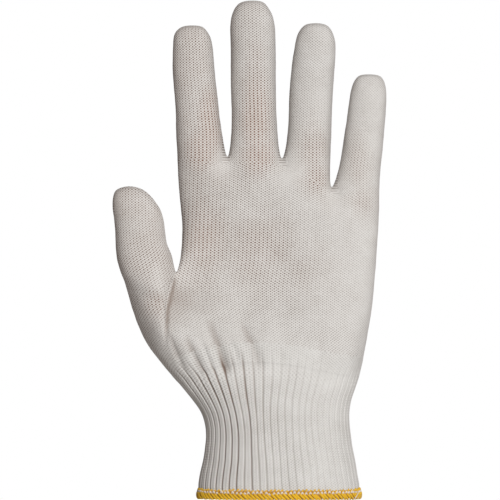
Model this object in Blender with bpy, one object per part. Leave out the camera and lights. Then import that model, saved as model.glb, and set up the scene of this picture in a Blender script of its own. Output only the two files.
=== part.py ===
"""Polyester knit glove in the shape it has when worn.

Fingers point up (+Z), the palm faces -Y, the thumb is on the left (-X).
The origin is the middle of the cuff mouth, level with the hem's lower edge.
"""
import math
from collections import namedtuple

import bmesh
import bpy
from mathutils import Vector

# Sizes in millimetres
BODY_HEIGHT = 159.0      # cuff mouth to the start of the index finger
HAND_WIDTH = 89.0        # across the palm below the fingers
HAND_DEPTH = 28.0        # palm to back in the middle of the hand
CUFF_HEIGHT = 64.0       # cuff mouth to the top of the ribs in the middle
INDEX_LENGTH = 61.9
MIDDLE_LENGTH = 74.2
RING_LENGTH = 70.7
LITTLE_LENGTH = 55.6
THUMB_LENGTH = 48.3
FINGER_WIDTH = 20.0      # a finger at half its length
FINGER_DEPTH = 18.5
KNIT_WALL = 1.1
RIB_FLOOR = 1.0          # the cuff's wall between two ribs
RIB_RELIEF = 1.0         # height of a rib above the wall between
RIB_COUNT = 56
HEM_HEIGHT = 4.7
HEM_SKIN = 0.9           # thickness of the thread cover on each side of the cuff's edge
EDGE_WALL = 1.3          # the cuff's wall where the hem holds it
SEAM_GAP = 0.3           # gap where two pieces meet
THREAD_GAP = 0.3         # gap between the hem and the cuff's edge

HEM_GRIP = 0.68 * HEM_HEIGHT       # length of the cuff's edge held inside the hem
CUFF_WALL = RIB_FLOOR + RIB_RELIEF
MM = 0.001
FIT_ROUNDS = 2
CORNER = 0.74            # how far out the corners of a digit's section lie, share of its half width
ROUND_STEPS = 1440       # steps that measure the cloth's length round the wrist
WRIST = 0.185            # height where the ribs are spaced evenly, share of BODY_HEIGHT
SHARP_DEGREES = 50.0     # edges that turn more than this are shaded sharp
FOLD_CUTS = 2            # cuts across each edge of the net beside a fold
FOLD_REACH = 2.2         # how far beside a fold the net is cut finer, in widths of the fold
FOLD_END = 0.2           # how far past its ends the net is cut finer, as a share of its length


def table(columns, *rows):
    """A table whose columns have names."""
    row_kind = namedtuple("Row", columns)
    return [row_kind(*row) for row in rows]


# Outline of cuff and palm. up: share of BODY_HEIGHT. left, right: shares of HAND_WIDTH from the
# middle of the cuff mouth. front, back: shares of HAND_DEPTH. square: roundness of the section.
OUTLINE = table(
    "up left right front back square",
    (0.000, -0.429, 0.428, 0.925, 0.925, 2.15),
    (0.035, -0.427, 0.420, 0.905, 0.905, 2.15),
    (0.076, -0.416, 0.407, 0.870, 0.870, 2.15),
    (0.114, -0.400, 0.396, 0.840, 0.835, 2.15),
    (0.152, -0.390, 0.382, 0.815, 0.805, 2.15),
    (0.185, -0.385, 0.374, 0.800, 0.785, 2.15),
    (0.220, -0.391, 0.367, 0.795, 0.765, 2.15),
    (0.255, -0.412, 0.366, 0.790, 0.740, 2.15),
    (0.290, -0.455, 0.376, 0.785, 0.705, 2.15),
    (0.325, -0.507, 0.397, 0.775, 0.665, 2.15),
    (0.360, -0.561, 0.418, 0.760, 0.625, 2.2),
    (0.407, -0.631, 0.437, 0.720, 0.580, 2.2),
    (0.448, -0.686, 0.450, 0.670, 0.550, 2.25),
    (0.489, -0.727, 0.463, 0.620, 0.530, 2.3),
    (0.525, -0.749, 0.474, 0.590, 0.520, 2.3),
    (0.571, -0.700, 0.486, 0.560, 0.510, 2.4),
    (0.663, -0.513, 0.502, 0.520, 0.495, 2.5),
    (0.703, -0.509, 0.507, 0.510, 0.490, 2.5),
    (0.744, -0.507, 0.511, 0.505, 0.485, 2.5),
    (0.823, -0.511, 0.517, 0.500, 0.475, 2.5),
    (0.879, -0.518, 0.521, 0.490, 0.460, 2.5),
    (0.935, -0.527, 0.526, 0.470, 0.430, 2.5),
    (1.000, -0.532, 0.532, 0.400, 0.380, 2.5),
)

# Top line of the ribs. across: -1 at the left edge, 1 at the right. up: share of CUFF_HEIGHT.
CUFF_LINE = table(
    "across up",
    (-1.00, 0.830),
    (-0.85, 0.880),
    (-0.55, 0.950),
    (-0.15, 1.000),
    (0.25, 0.985),
    (0.65, 0.930),
    (0.88, 0.900),
    (1.00, 0.895),
)

# Columns of the hand's form, from left to right. top: place across under the fingers. low: place
# across at the cuff. line: height where the fingers start, share of BODY_HEIGHT. deep: share of
# HAND_DEPTH there.
FRONT_COLUMNS = table(
    "name top low line deep",
    ("left_edge", -0.955, -0.900, 0.998, 0.250),
    ("index", -0.760, -0.640, 0.992, 0.400),
    ("web_one", -0.510, -0.370, 0.982, 0.330),
    ("middle", -0.245, -0.075, 0.988, 0.410),
    ("web_two", 0.022, 0.190, 0.976, 0.330),
    ("ring", 0.270, 0.420, 0.948, 0.400),
    ("web_three", 0.515, 0.630, 0.895, 0.320),
    ("little", 0.755, 0.800, 0.893, 0.360),
    ("right_edge", 0.955, 0.925, 0.883, 0.220),
)
BACK_COLUMNS = table(
    "name top low line deep",
    ("left_edge", -0.955, -0.900, 0.994, 0.240),
    ("index", -0.760, -0.690, 0.985, 0.380),
    ("web_one", -0.510, -0.460, 0.962, 0.330),
    ("middle", -0.245, -0.230, 0.975, 0.400),
    ("web_two", 0.022, 0.000, 0.955, 0.330),
    ("ring", 0.270, 0.230, 0.930, 0.380),
    ("web_three", 0.515, 0.460, 0.876, 0.310),
    ("little", 0.755, 0.690, 0.875, 0.340),
    ("right_edge", 0.955, 0.900, 0.878, 0.210),
)
# Height of the webs and the outer edges where the fingers start, shares of BODY_HEIGHT
EDGE_LINES = {"left_edge": 1.000, "web_one": 0.997, "web_two": 0.991, "web_three": 0.909,
              "right_edge": 0.880}

# Rows of the palm from the cuff line to the finger line, as shares of the way up
PALM_ROWS = (0.0, 0.085, 0.170, 0.265, 0.375, 0.490, 0.610, 0.740, 0.870, 1.0)
THUMB_ROWS = (3, 5)      # lowest and highest row of the ring that the thumb starts from

# Points of the palm where the thumb starts and along the crease beside it. x: share of
# HAND_WIDTH. y: share of HAND_DEPTH. z: share of BODY_HEIGHT.
PLACED = table(
    "row column side x y z",
    (2, "left_edge", "front", -0.685, -0.560, 0.520),
    (3, "left_edge", "edge", -0.793, -0.330, 0.612),
    (3, "left_edge", "front", -0.722, -0.700, 0.606),
    (4, "left_edge", "front", -0.618, -0.835, 0.616),
    (5, "left_edge", "front", -0.552, -0.475, 0.650),
    (5, "left_edge", "edge", -0.532, -0.320, 0.655),
    (5, "left_edge", "back", -0.556, -0.060, 0.652),
    (4, "left_edge", "back", -0.650, 0.060, 0.635),
    (3, "left_edge", "back", -0.745, 0.000, 0.616),
    (6, "left_edge", "front", -0.497, -0.330, 0.735),
    (5, "index", "front", -0.480, -0.430, 0.652),
    (4, "index", "front", -0.525, -0.520, 0.594),
    (3, "index", "front", -0.538, -0.640, 0.538),
    (2, "index", "front", -0.530, -0.730, 0.478),
)

# The four fingers. deep: share of FINGER_DEPTH. from_edge, to_edge: where the finger starts.
FINGERS = table(
    "name length deep from_edge to_edge",
    ("index_finger", INDEX_LENGTH, 0.950, "left_edge", "web_one"),
    ("middle_finger", MIDDLE_LENGTH, 1.000, "web_one", "web_two"),
    ("ring_finger", RING_LENGTH, 0.960, "web_two", "web_three"),
    ("little_finger", LITTLE_LENGTH, 0.860, "web_three", "right_edge"),
)
# Rings of the fingers. up: share of the length. middle: share of HAND_WIDTH from the middle of
# the cuff mouth. wide: share of FINGER_WIDTH. deep: share of the finger's depth. curl: share of
# FINGER_DEPTH by which the finger leans to the palm side.
FINGER_RINGS = table(
    "name up middle wide deep curl",
    ("index_finger", 0.200, -0.421, 1.060, 1.04, 0.03),
    ("index_finger", 0.420, -0.434, 1.000, 1.00, 0.07),
    ("index_finger", 0.640, -0.448, 0.970, 0.96, 0.12),
    ("index_finger", 0.830, -0.453, 0.928, 0.88, 0.19),
    ("index_finger", 0.935, -0.460, 0.795, 0.73, 0.25),
    ("index_finger", 0.983, -0.456, 0.510, 0.48, 0.28),
    ("middle_finger", 0.200, -0.131, 1.080, 1.04, 0.03),
    ("middle_finger", 0.420, -0.136, 1.046, 1.00, 0.07),
    ("middle_finger", 0.640, -0.137, 1.042, 0.97, 0.12),
    ("middle_finger", 0.840, -0.141, 1.036, 0.90, 0.19),
    ("middle_finger", 0.935, -0.144, 0.839, 0.74, 0.25),
    ("middle_finger", 0.983, -0.144, 0.559, 0.48, 0.28),
    ("ring_finger", 0.200, 0.154, 1.010, 1.03, 0.03),
    ("ring_finger", 0.420, 0.162, 1.002, 1.00, 0.07),
    ("ring_finger", 0.640, 0.171, 0.978, 0.97, 0.12),
    ("ring_finger", 0.830, 0.187, 0.952, 0.90, 0.19),
    ("ring_finger", 0.935, 0.191, 0.792, 0.74, 0.25),
    ("ring_finger", 0.983, 0.191, 0.512, 0.48, 0.28),
    ("little_finger", 0.200, 0.419, 0.945, 1.04, 0.04),
    ("little_finger", 0.420, 0.437, 0.920, 1.00, 0.08),
    ("little_finger", 0.640, 0.454, 0.880, 0.97, 0.13),
    ("little_finger", 0.820, 0.464, 0.836, 0.90, 0.19),
    ("little_finger", 0.930, 0.468, 0.715, 0.74, 0.24),
    ("little_finger", 0.982, 0.469, 0.495, 0.48, 0.27),
)
# Rings of the thumb. left_x, right_x: shares of HAND_WIDTH. left_z, right_z: heights above the
# thumb's lowest base point, shares of THUMB_LENGTH. y: share of HAND_DEPTH. deep: share of
# FINGER_DEPTH.
THUMB_RINGS = table(
    "left_x left_z right_x right_z y deep",
    (-0.819, 0.137, -0.560, 0.311, -0.370, 1.30),
    (-0.849, 0.311, -0.586, 0.426, -0.410, 1.26),
    (-0.857, 0.484, -0.596, 0.542, -0.460, 1.20),
    (-0.861, 0.658, -0.605, 0.677, -0.520, 1.12),
    (-0.870, 0.812, -0.634, 0.822, -0.575, 0.94),
    (-0.856, 0.947, -0.696, 0.947, -0.615, 0.58),
)
THUMB_FOOT = 0.612       # height of the thumb's lowest base point, share of BODY_HEIGHT
THUMB_TIP_X = -0.777
THUMB_TIP_Y = -0.630

# Swellings of the palm and the back. across, up: middle, as shares of HAND_WIDTH and
# BODY_HEIGHT. wide, tall: reach, the same way. out: share of HAND_DEPTH; negative is a hollow.
SWELLS = table(
    "name side across up wide tall out",
    ("ball_of_thumb", "front", -0.560, 0.500, 0.200, 0.110, 0.200),
    ("heel_of_hand", "front", 0.330, 0.480, 0.200, 0.140, 0.080),
    ("hollow_of_hand", "front", -0.080, 0.680, 0.200, 0.130, -0.070),
    ("knuckle_one", "back", -0.400, 0.900, 0.090, 0.050, 0.060),
    ("knuckle_two", "back", -0.130, 0.910, 0.090, 0.050, 0.070),
    ("knuckle_three", "back", 0.140, 0.890, 0.090, 0.050, 0.060),
    ("knuckle_four", "back", 0.390, 0.840, 0.080, 0.050, 0.050),
)

# Folds in the knit, grooves pressed into the palm side. x: share of HAND_WIDTH. z: share of
# BODY_HEIGHT. wide: share of HAND_WIDTH. press: depth in knit walls.
FOLDS = table(
    "name x_low z_low x_high z_high wide press",
    ("main_fold", -0.275, 0.365, -0.338, 0.500, 0.022, 1.60),
    ("second_fold", -0.105, 0.385, -0.170, 0.485, 0.020, 1.20),
    ("thumb_side_fold", -0.440, 0.405, -0.500, 0.480, 0.020, 1.00),
)

# Rings of the cuff above the hem. up: share of the way from the hem to the rib tops. rib: share
# of RIB_RELIEF. wall: 0 for KNIT_WALL, 1 for CUFF_WALL.
CUFF_RINGS = table(
    "up rib wall",
    (0.030, 0.90, 0.80),
    (0.200, 1.00, 1.00),
    (0.400, 1.00, 1.00),
    (0.600, 1.00, 1.00),
    (0.790, 1.00, 1.00),
    (0.930, 0.85, 0.80),
    (1.000, 0.25, 0.15),
)

# Outside of the hem's section. side: share of its half thickness, 1 is outwards. up: share of
# HEM_HEIGHT.
HEM_OUTSIDE = table(
    "side up",
    (0.85, 1.00),
    (1.00, 0.50),
    (0.55, 0.00),
    (-0.55, 0.00),
    (-1.00, 0.50),
    (-0.85, 1.00),
)

FINISHES = {row.name: row for row in table(
    "name red green blue roughness",
    ("knit", 0.720, 0.695, 0.660, 0.92),
    ("rib", 0.740, 0.720, 0.685, 0.90),
    ("hem", 0.760, 0.460, 0.015, 0.70),
)}
PIECES = ("index_finger", "middle_finger", "ring_finger", "little_finger", "thumb", "palm")


def smooth_row(rows, key):
    """Reads a table at key in its first column, along a smooth curve through its rows."""
    keys = [row[0] for row in rows]
    key = min(max(key, keys[0]), keys[-1])
    at = 0
    while at < len(keys) - 2 and key > keys[at + 1]:
        at += 1
    span = keys[at + 1] - keys[at]
    t = (key - keys[at]) / span
    found = []
    for column in range(1, len(rows[0])):
        start = rows[at][column]
        end = rows[at + 1][column]
        slope_in = (end - start) / span
        slope_out = slope_in
        if at > 0:
            slope_in = (end - rows[at - 1][column]) / (keys[at + 1] - keys[at - 1])
        if at < len(keys) - 2:
            slope_out = (rows[at + 2][column] - start) / (keys[at + 2] - keys[at])
        h00 = (1.0 + 2.0 * t) * (1.0 - t) ** 2
        h10 = t * (1.0 - t) ** 2
        h01 = t * t * (3.0 - 2.0 * t)
        h11 = t * t * (t - 1.0)
        found.append(h00 * start + h10 * span * slope_in + h01 * end + h11 * span * slope_out)
    return found


def edges_at(height):
    """Left, right, front and back of the hand in millimetres at a height, and its squareness."""
    left, right, front, back, square = smooth_row(OUTLINE, height / BODY_HEIGHT)
    return (left * HAND_WIDTH, right * HAND_WIDTH, -front * HAND_DEPTH, back * HAND_DEPTH,
            square)


def body_point(across, side, height):
    """Point on the hand's outside; across runs -1 to 1, side is -1 for palm and 1 for back."""
    left, right, front, back, square = edges_at(height)
    x = (left + right) / 2.0 + across * (right - left) / 2.0
    fullness = max(0.0, 1.0 - abs(across) ** square) ** (1.0 / square)
    y = (front if side < 0 else back) * fullness
    return Vector((x, y, height))


def cuff_line(across):
    """Height of the rib tops at a place across the hand."""
    return smooth_row(CUFF_LINE, across)[0] * CUFF_HEIGHT


def swell(point, side):
    """Moves a point of the palm or back outwards by the swellings near it."""
    out = 0.0
    for row in SWELLS:
        if row.side != side:
            continue
        dx = (point.x / HAND_WIDTH - row.across) / row.wide
        dz = (point.z / BODY_HEIGHT - row.up) / row.tall
        out += row.out * HAND_DEPTH * math.exp(-dx * dx - dz * dz)
    facing = -1.0 if side == "front" else 1.0
    return Vector((point.x, point.y + facing * out, point.z))


def hand_columns():
    """The columns round the hand: left edge, palm from left to right, right edge, back."""
    ring = [("left_edge", "edge", -1.0, -1.0)]
    ring += [(row.name, "front", row.top, row.low) for row in FRONT_COLUMNS]
    ring.append(("right_edge", "edge", 1.0, 1.0))
    ring += [(row.name, "back", row.top, row.low) for row in reversed(BACK_COLUMNS)]
    return ring


def finger_line_point(name, side):
    """Point of the line where the fingers start."""
    if side == "edge":
        place = -1.0 if name == "left_edge" else 1.0
        return body_point(place, -1, EDGE_LINES[name] * BODY_HEIGHT)
    rows = FRONT_COLUMNS if side == "front" else BACK_COLUMNS
    row = [row for row in rows if row.name == name][0]
    point = body_point(row.top, -1, row.line * BODY_HEIGHT)
    point.y = (-row.deep if side == "front" else row.deep) * HAND_DEPTH
    return point


def palm_height(at, name, low, high):
    """Height of a palm row; beside the thumb the rows part evenly above and below it."""
    if name != "left_edge":
        return low + (high - low) * PALM_ROWS[at]
    thumb_low, thumb_high = THUMB_ROWS
    if at < thumb_low:
        return low + (THUMB_FOOT * BODY_HEIGHT - low) * at / thumb_low
    web = [row.z for row in PLACED if row.row == thumb_high and row.side == "edge"][0]
    share = (at - thumb_high) / (len(PALM_ROWS) - 1 - thumb_high)
    return web * BODY_HEIGHT + (high - web * BODY_HEIGHT) * share


def palm_points():
    """Rows of points over palm and back, from the cuff line to the finger line."""
    placed = {(row.row, row.column, row.side):
              Vector((row.x * HAND_WIDTH, row.y * HAND_DEPTH, row.z * BODY_HEIGHT))
              for row in PLACED}
    rows = []
    for at, share in enumerate(PALM_ROWS):
        ring = []
        for name, side, top, low in hand_columns():
            if at == len(PALM_ROWS) - 1:
                ring.append(finger_line_point(name, side))
                continue
            if (at, name, side) in placed:
                ring.append(placed[(at, name, side)])
                continue
            across = low + (top - low) * share
            height = palm_height(at, name, cuff_line(low), finger_line_point(name, side).z)
            point = body_point(across, 1 if side == "back" else -1, height)
            if side != "edge" and at > 0:
                point = swell(point, side)
            ring.append(point)
        rows.append(ring)
    return rows


def section_ring(left, right, front, back, z_left, z_right):
    """Eight points round a digit: left-front, front, right-front, right, then the back way."""
    middle = (left + right) / 2.0
    half = (right - left) / 2.0
    centre = (front + back) / 2.0
    deep = (back - front) / 2.0
    heights = (z_left, (z_left + z_right) / 2.0, z_right)
    turns = ((-CORNER, -CORNER, 0), (0.0, -1.0, 1), (CORNER, -CORNER, 2), (1.0, 0.0, 2),
             (CORNER, CORNER, 2), (0.0, 1.0, 1), (-CORNER, CORNER, 0), (-1.0, 0.0, 0))
    return [Vector((middle + half * x, centre + deep * y, heights[z])) for x, y, z in turns]


def finger_rings(finger, z_left, z_right):
    """Rings of a finger above its base, and its tip."""
    tip = (z_left + z_right) / 2.0 + finger.length
    rings = []
    rows = [row for row in FINGER_RINGS if row.name == finger.name]
    for row in rows:
        middle = row.middle * HAND_WIDTH
        half = row.wide * FINGER_WIDTH / 2.0
        centre = -row.curl * FINGER_DEPTH
        half_deep = row.deep * finger.deep * FINGER_DEPTH / 2.0
        rings.append(section_ring(
            middle - half, middle + half, centre - half_deep, centre + half_deep,
            z_left + (tip - z_left) * row.up, z_right + (tip - z_right) * row.up))
    return rings, Vector((rows[-1].middle * HAND_WIDTH, -rows[-1].curl * FINGER_DEPTH, tip))


def thumb_rings():
    """Rings of the thumb above its base, and its tip."""
    foot = THUMB_FOOT * BODY_HEIGHT
    rings = []
    for row in THUMB_RINGS:
        half = row.deep * FINGER_DEPTH / 2.0
        centre = row.y * HAND_DEPTH
        rings.append(section_ring(
            row.left_x * HAND_WIDTH, row.right_x * HAND_WIDTH, centre - half, centre + half,
            foot + row.left_z * THUMB_LENGTH, foot + row.right_z * THUMB_LENGTH))
    tip = Vector((THUMB_TIP_X * HAND_WIDTH, THUMB_TIP_Y * HAND_DEPTH, foot + THUMB_LENGTH))
    return rings, tip


def build_form():
    """The whole hand as a coarse closed net, its points still on the cloth's surface."""
    form = bmesh.new()
    piece_of = form.faces.layers.int.new("piece")
    columns = hand_columns()
    count = len(columns)
    names = {(name, side): at for at, (name, side, _, _) in enumerate(columns)}
    left = names[("left_edge", "edge")]
    thumb_low, thumb_high = THUMB_ROWS
    rows = []
    for at, ring in enumerate(palm_points()):
        inside = thumb_low < at < thumb_high
        rows.append([None if inside and column == left else form.verts.new(point)
                     for column, point in enumerate(ring)])

    thumb_columns = (count - 1, left)
    for at in range(len(rows) - 1):
        for column in range(count):
            in_thumb = column in thumb_columns and thumb_low <= at < thumb_high
            if in_thumb:
                continue
            after = (column + 1) % count
            face = form.faces.new((rows[at][column], rows[at][after],
                                   rows[at + 1][after], rows[at + 1][column]))
            face[piece_of] = PIECES.index("palm")

    top = rows[-1]
    webs = {"left_edge": top[names[("left_edge", "edge")]],
            "right_edge": top[names[("right_edge", "edge")]]}
    for web in ("web_one", "web_two", "web_three"):
        front = top[names[(web, "front")]].co
        back = top[names[(web, "back")]].co
        height = EDGE_LINES[web] * BODY_HEIGHT
        webs[web] = form.verts.new(((front.x + back.x) / 2.0, (front.y + back.y) / 2.0, height))

    for finger in FINGERS:
        column = finger.name.split("_")[0]
        near = webs[finger.from_edge]
        far = webs[finger.to_edge]
        base = [top[names[(finger.from_edge, "front")]], top[names[(column, "front")]],
                top[names[(finger.to_edge, "front")]], far,
                top[names[(finger.to_edge, "back")]], top[names[(column, "back")]],
                top[names[(finger.from_edge, "back")]], near]
        rings, tip = finger_rings(finger, near.co.z, far.co.z)
        add_digit(form, base, rings, tip, piece_of, PIECES.index(finger.name))

    front = names[("left_edge", "front")]
    back = names[("left_edge", "back")]
    low, middle, high = rows[thumb_low:thumb_high + 1]
    base = [low[front], middle[front], high[front], high[left],
            high[back], middle[back], low[back], low[left]]
    rings, tip = thumb_rings()
    add_digit(form, base, rings, tip, piece_of, PIECES.index("thumb"))
    form.normal_update()
    return form


def add_digit(form, base, rings, tip, piece_of, piece):
    """Sets a digit's rings on its base and closes the tip."""
    below = base
    for ring in rings:
        verts = [form.verts.new(point) for point in ring]
        for at in range(len(verts)):
            after = (at + 1) % len(verts)
            face = form.faces.new((below[at], below[after], verts[after], verts[at]))
            face[piece_of] = piece
        below = verts
    end = form.verts.new(tip)
    for at in range(0, len(below), 2):
        after = (at + 2) % len(below)
        face = form.faces.new((end, below[at], below[at + 1], below[after]))
        face[piece_of] = piece


def rounded(mesh, levels):
    """The net rounded off by Blender's subdivision surface."""
    holder = bpy.data.objects.new("form", mesh)
    bpy.context.scene.collection.objects.link(holder)
    rounder = holder.modifiers.new("round", "SUBSURF")
    rounder.levels = levels
    rounder.render_levels = levels
    graph = bpy.context.evaluated_depsgraph_get()
    result = bpy.data.meshes.new_from_object(holder.evaluated_get(graph))
    bpy.data.objects.remove(holder)
    return result


def fitted_form():
    """Moves the net's points until the rounded cloth passes through the places asked for."""
    form = build_form()
    mesh = bpy.data.meshes.new("net")
    form.to_mesh(mesh)
    form.free()
    asked = [vertex.co.copy() for vertex in mesh.vertices]
    for _ in range(FIT_ROUNDS):
        surface = rounded(mesh, 1)
        for at, place in enumerate(asked):
            mesh.vertices[at].co += place - surface.vertices[at].co
        bpy.data.meshes.remove(surface)
    surface = rounded(mesh, 1)
    bpy.data.meshes.remove(mesh)
    return surface


def fold_place(fold, point):
    """Share of the way along a fold, and how far off its line in widths of the fold."""
    low = Vector((fold.x_low * HAND_WIDTH, fold.z_low * BODY_HEIGHT))
    high = Vector((fold.x_high * HAND_WIDTH, fold.z_high * BODY_HEIGHT))
    along = high - low
    place = Vector((point.x, point.z)) - low
    share = place.dot(along) / along.length_squared
    return share, (place - along * share).length / (fold.wide * HAND_WIDTH)


def press_folds(mesh):
    """Cuts the net finer where the folds lie and presses them into the palm side."""
    net = bmesh.new()
    net.from_mesh(mesh)
    edges = set()
    for face in net.faces:
        for fold in FOLDS:
            share, off = fold_place(fold, face.calc_center_median())
            if face.normal.y < 0.0 and -FOLD_END < share < 1.0 + FOLD_END and off < FOLD_REACH:
                edges.update(face.edges)
    ordered = sorted(edges, key=lambda edge: edge.index)
    bmesh.ops.subdivide_edges(net, edges=ordered, cuts=FOLD_CUTS, use_grid_fill=True)
    net.normal_update()
    moves = []
    for vertex in net.verts:
        depth = 0.0
        for fold in FOLDS:
            share, off = fold_place(fold, vertex.co)
            inside = max(0.0, 1.0 - abs(2.0 * share - 1.0) ** 3)
            depth = max(depth, fold.press * inside * math.exp(-off * off))
        if vertex.normal.y < 0.0:
            moves.append((vertex, vertex.normal * (-depth * KNIT_WALL)))
    for vertex, move in moves:
        vertex.co += move
    net.to_mesh(mesh)
    net.free()


def walled(mesh):
    """The form with its inner wall; the first half of its points and faces is the outside."""
    holder = bpy.data.objects.new("wall", mesh)
    bpy.context.scene.collection.objects.link(holder)
    wall = holder.modifiers.new("wall", "SOLIDIFY")
    wall.thickness = KNIT_WALL
    wall.offset = -1.0
    wall.use_even_offset = False
    wall.use_rim = False
    graph = bpy.context.evaluated_depsgraph_get()
    result = bpy.data.meshes.new_from_object(holder.evaluated_get(graph))
    bpy.data.objects.remove(holder)
    return result


def seam_shift(vertex, faces, open_edges):
    """Step in the cloth that leads away from the piece's edge at a point of that edge."""
    ends = [edge.other_vert(vertex).co for edge in vertex.link_edges if edge in open_edges]
    along = (ends[0] - ends[1]).normalized() if len(ends) == 2 else Vector()
    inward = Vector()
    for edge in vertex.link_edges:
        if edge in open_edges or not any(face in faces for face in edge.link_faces):
            continue
        inward += (edge.other_vert(vertex).co - vertex.co).normalized()
    inward -= along * inward.dot(along)
    return inward.normalized() * (SEAM_GAP / 2.0)


def edge_inside(vertex, faces):
    """Inner point of the wall at a piece's edge, between the hand's slope and the piece's own."""
    own = Vector()
    for face in vertex.link_faces:
        if face in faces:
            own += face.normal
    return vertex.co - (vertex.normal + own.normalized()).normalized() * KNIT_WALL


def cut_piece(name, form, wall, piece_of):
    """One piece of the form as a closed wall, set back from its seams by half the gap."""
    number = PIECES.index(name)
    faces = {face for face in form.faces if face[piece_of] == number}
    open_edges = {edge for face in faces for edge in face.edges
                  if sum(1 for other in edge.link_faces if other in faces) == 1}
    half = len(form.verts)
    places = {}
    for vertex in {vertex for edge in open_edges for vertex in edge.verts}:
        shift = seam_shift(vertex, faces, open_edges)
        places[vertex.index] = vertex.co + shift
        places[vertex.index + half] = edge_inside(vertex, faces) + shift
    piece = bmesh.new()
    made = {}

    def point(index, inner):
        key = index + half * inner
        if key not in made:
            made[key] = piece.verts.new(places.get(key, wall.vertices[key].co) * MM)
        return made[key]

    for face in sorted(faces, key=lambda item: item.index):
        indices = [vertex.index for vertex in face.verts]
        piece.faces.new([point(index, 0) for index in indices])
        piece.faces.new([point(index, 1) for index in reversed(indices)])
        for loop in face.loops:
            if loop.edge in open_edges:
                first = loop.vert.index
                second = loop.link_loop_next.vert.index
                piece.faces.new((point(second, 0), point(first, 0),
                                 point(first, 1), point(second, 1)))
    return finish_piece(name, piece, "knit")


def finish_piece(name, piece, finish):
    """Makes the named object with its material and smooth shading."""
    bmesh.ops.recalc_face_normals(piece, faces=piece.faces[:])
    mesh = bpy.data.meshes.new(name)
    piece.to_mesh(mesh)
    piece.free()
    for polygon in mesh.polygons:
        polygon.use_smooth = True
    mesh.set_sharp_from_angle(angle=math.radians(SHARP_DEGREES))
    look = FINISHES[finish]
    material = bpy.data.materials.new(name + "_" + finish)
    material.use_nodes = True
    shader = material.node_tree.nodes["Principled BSDF"]
    shader.inputs["Base Color"].default_value = (look.red, look.green, look.blue, 1.0)
    shader.inputs["Roughness"].default_value = look.roughness
    shader.inputs["Metallic"].default_value = 0.0
    mesh.materials.append(material)
    made = bpy.data.objects.new(name, mesh)
    bpy.context.scene.collection.objects.link(made)
    return made


def even_turns(count):
    """Places round the wrist at even steps of cloth, as across and side."""
    height = WRIST * BODY_HEIGHT
    places = []
    for step in range(ROUND_STEPS + 1):
        turn = math.pi + 2.0 * math.pi * step / ROUND_STEPS
        _, _, _, _, square = edges_at(height)
        across = math.copysign(abs(math.cos(turn)) ** (2.0 / square), math.cos(turn))
        side = -1 if step <= ROUND_STEPS // 2 else 1
        places.append((across, side, body_point(across, side, height)))
    lengths = [0.0]
    for before, after in zip(places, places[1:]):
        lengths.append(lengths[-1] + (after[2] - before[2]).length)
    turns = []
    at = 0
    for number in range(count):
        wanted = lengths[-1] * number / count
        while lengths[at + 1] < wanted:
            at += 1
        turns.append(places[at][:2])
    return turns


def ring_outward(turns, points, level):
    """Direction outwards from the cloth at each point of a closed ring; level keeps it flat."""
    found = []
    count = len(points)
    for at, (across, side) in enumerate(turns):
        along = points[(at + 1) % count] - points[at - 1]
        height = points[at].z
        rise = body_point(across, side, height + 1.0) - body_point(across, side, height - 1.0)
        away = along.cross(rise)
        if level:
            away.z = 0.0
        found.append(away.normalized())
    return found


def add_ring(mesh, places):
    """A closed ring of points."""
    return [mesh.verts.new(place * MM) for place in places]


def join_rings(mesh, low, high):
    """Faces between two rings of as many points."""
    for at in range(len(low)):
        mesh.faces.new((low[at - 1], low[at], high[at], high[at - 1]))


def join_wall(mesh, outer, inner):
    """Faces across the wall between an outer ring and an inner ring of half as many points."""
    for at in range(len(inner)):
        before = outer[2 * at - 2]
        between = outer[2 * at - 1]
        mesh.faces.new((before, between, inner[at - 1]))
        mesh.faces.new((between, outer[2 * at], inner[at], inner[at - 1]))


def build_cuff():
    """Ribbed tube from inside the hem up to the rib tops."""
    columns = RIB_COUNT * 2
    turns = even_turns(columns)
    held = HEM_HEIGHT - HEM_GRIP
    foot = HEM_HEIGHT + THREAD_GAP
    levels = [(held, None, 0.0, EDGE_WALL), (foot, None, 0.0, EDGE_WALL)]
    levels += [(None, row.up, row.rib, KNIT_WALL + (CUFF_WALL - KNIT_WALL) * row.wall)
               for row in CUFF_RINGS]
    mesh = bmesh.new()
    outside = []
    inside = []
    for height, up, relief, wall in levels:
        base = []
        for across, side in turns:
            level = height
            if level is None:
                line = cuff_line(across)
                level = foot + (line - foot) * up
                if up == 1.0:
                    level -= SEAM_GAP / 2.0
            base.append(body_point(across, side, level))
        outward = ring_outward(turns, base, up is None)
        if up is None:
            base = [place - away * ((CUFF_WALL - EDGE_WALL) / 2.0)
                    for place, away in zip(base, outward)]
        outer = [place - away * (RIB_RELIEF * relief * (at % 2))
                 for at, (place, away) in enumerate(zip(base, outward))]
        inner = [place - away * wall for place, away in zip(base, outward)][::2]
        outside.append(add_ring(mesh, outer))
        inside.append(add_ring(mesh, inner))
    for rings in (outside, inside):
        for low, high in zip(rings, rings[1:]):
            join_rings(mesh, low, high)
    join_wall(mesh, outside[0], inside[0])
    join_wall(mesh, outside[-1], inside[-1])
    return finish_piece("rib_cuff", mesh, "rib")


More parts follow.
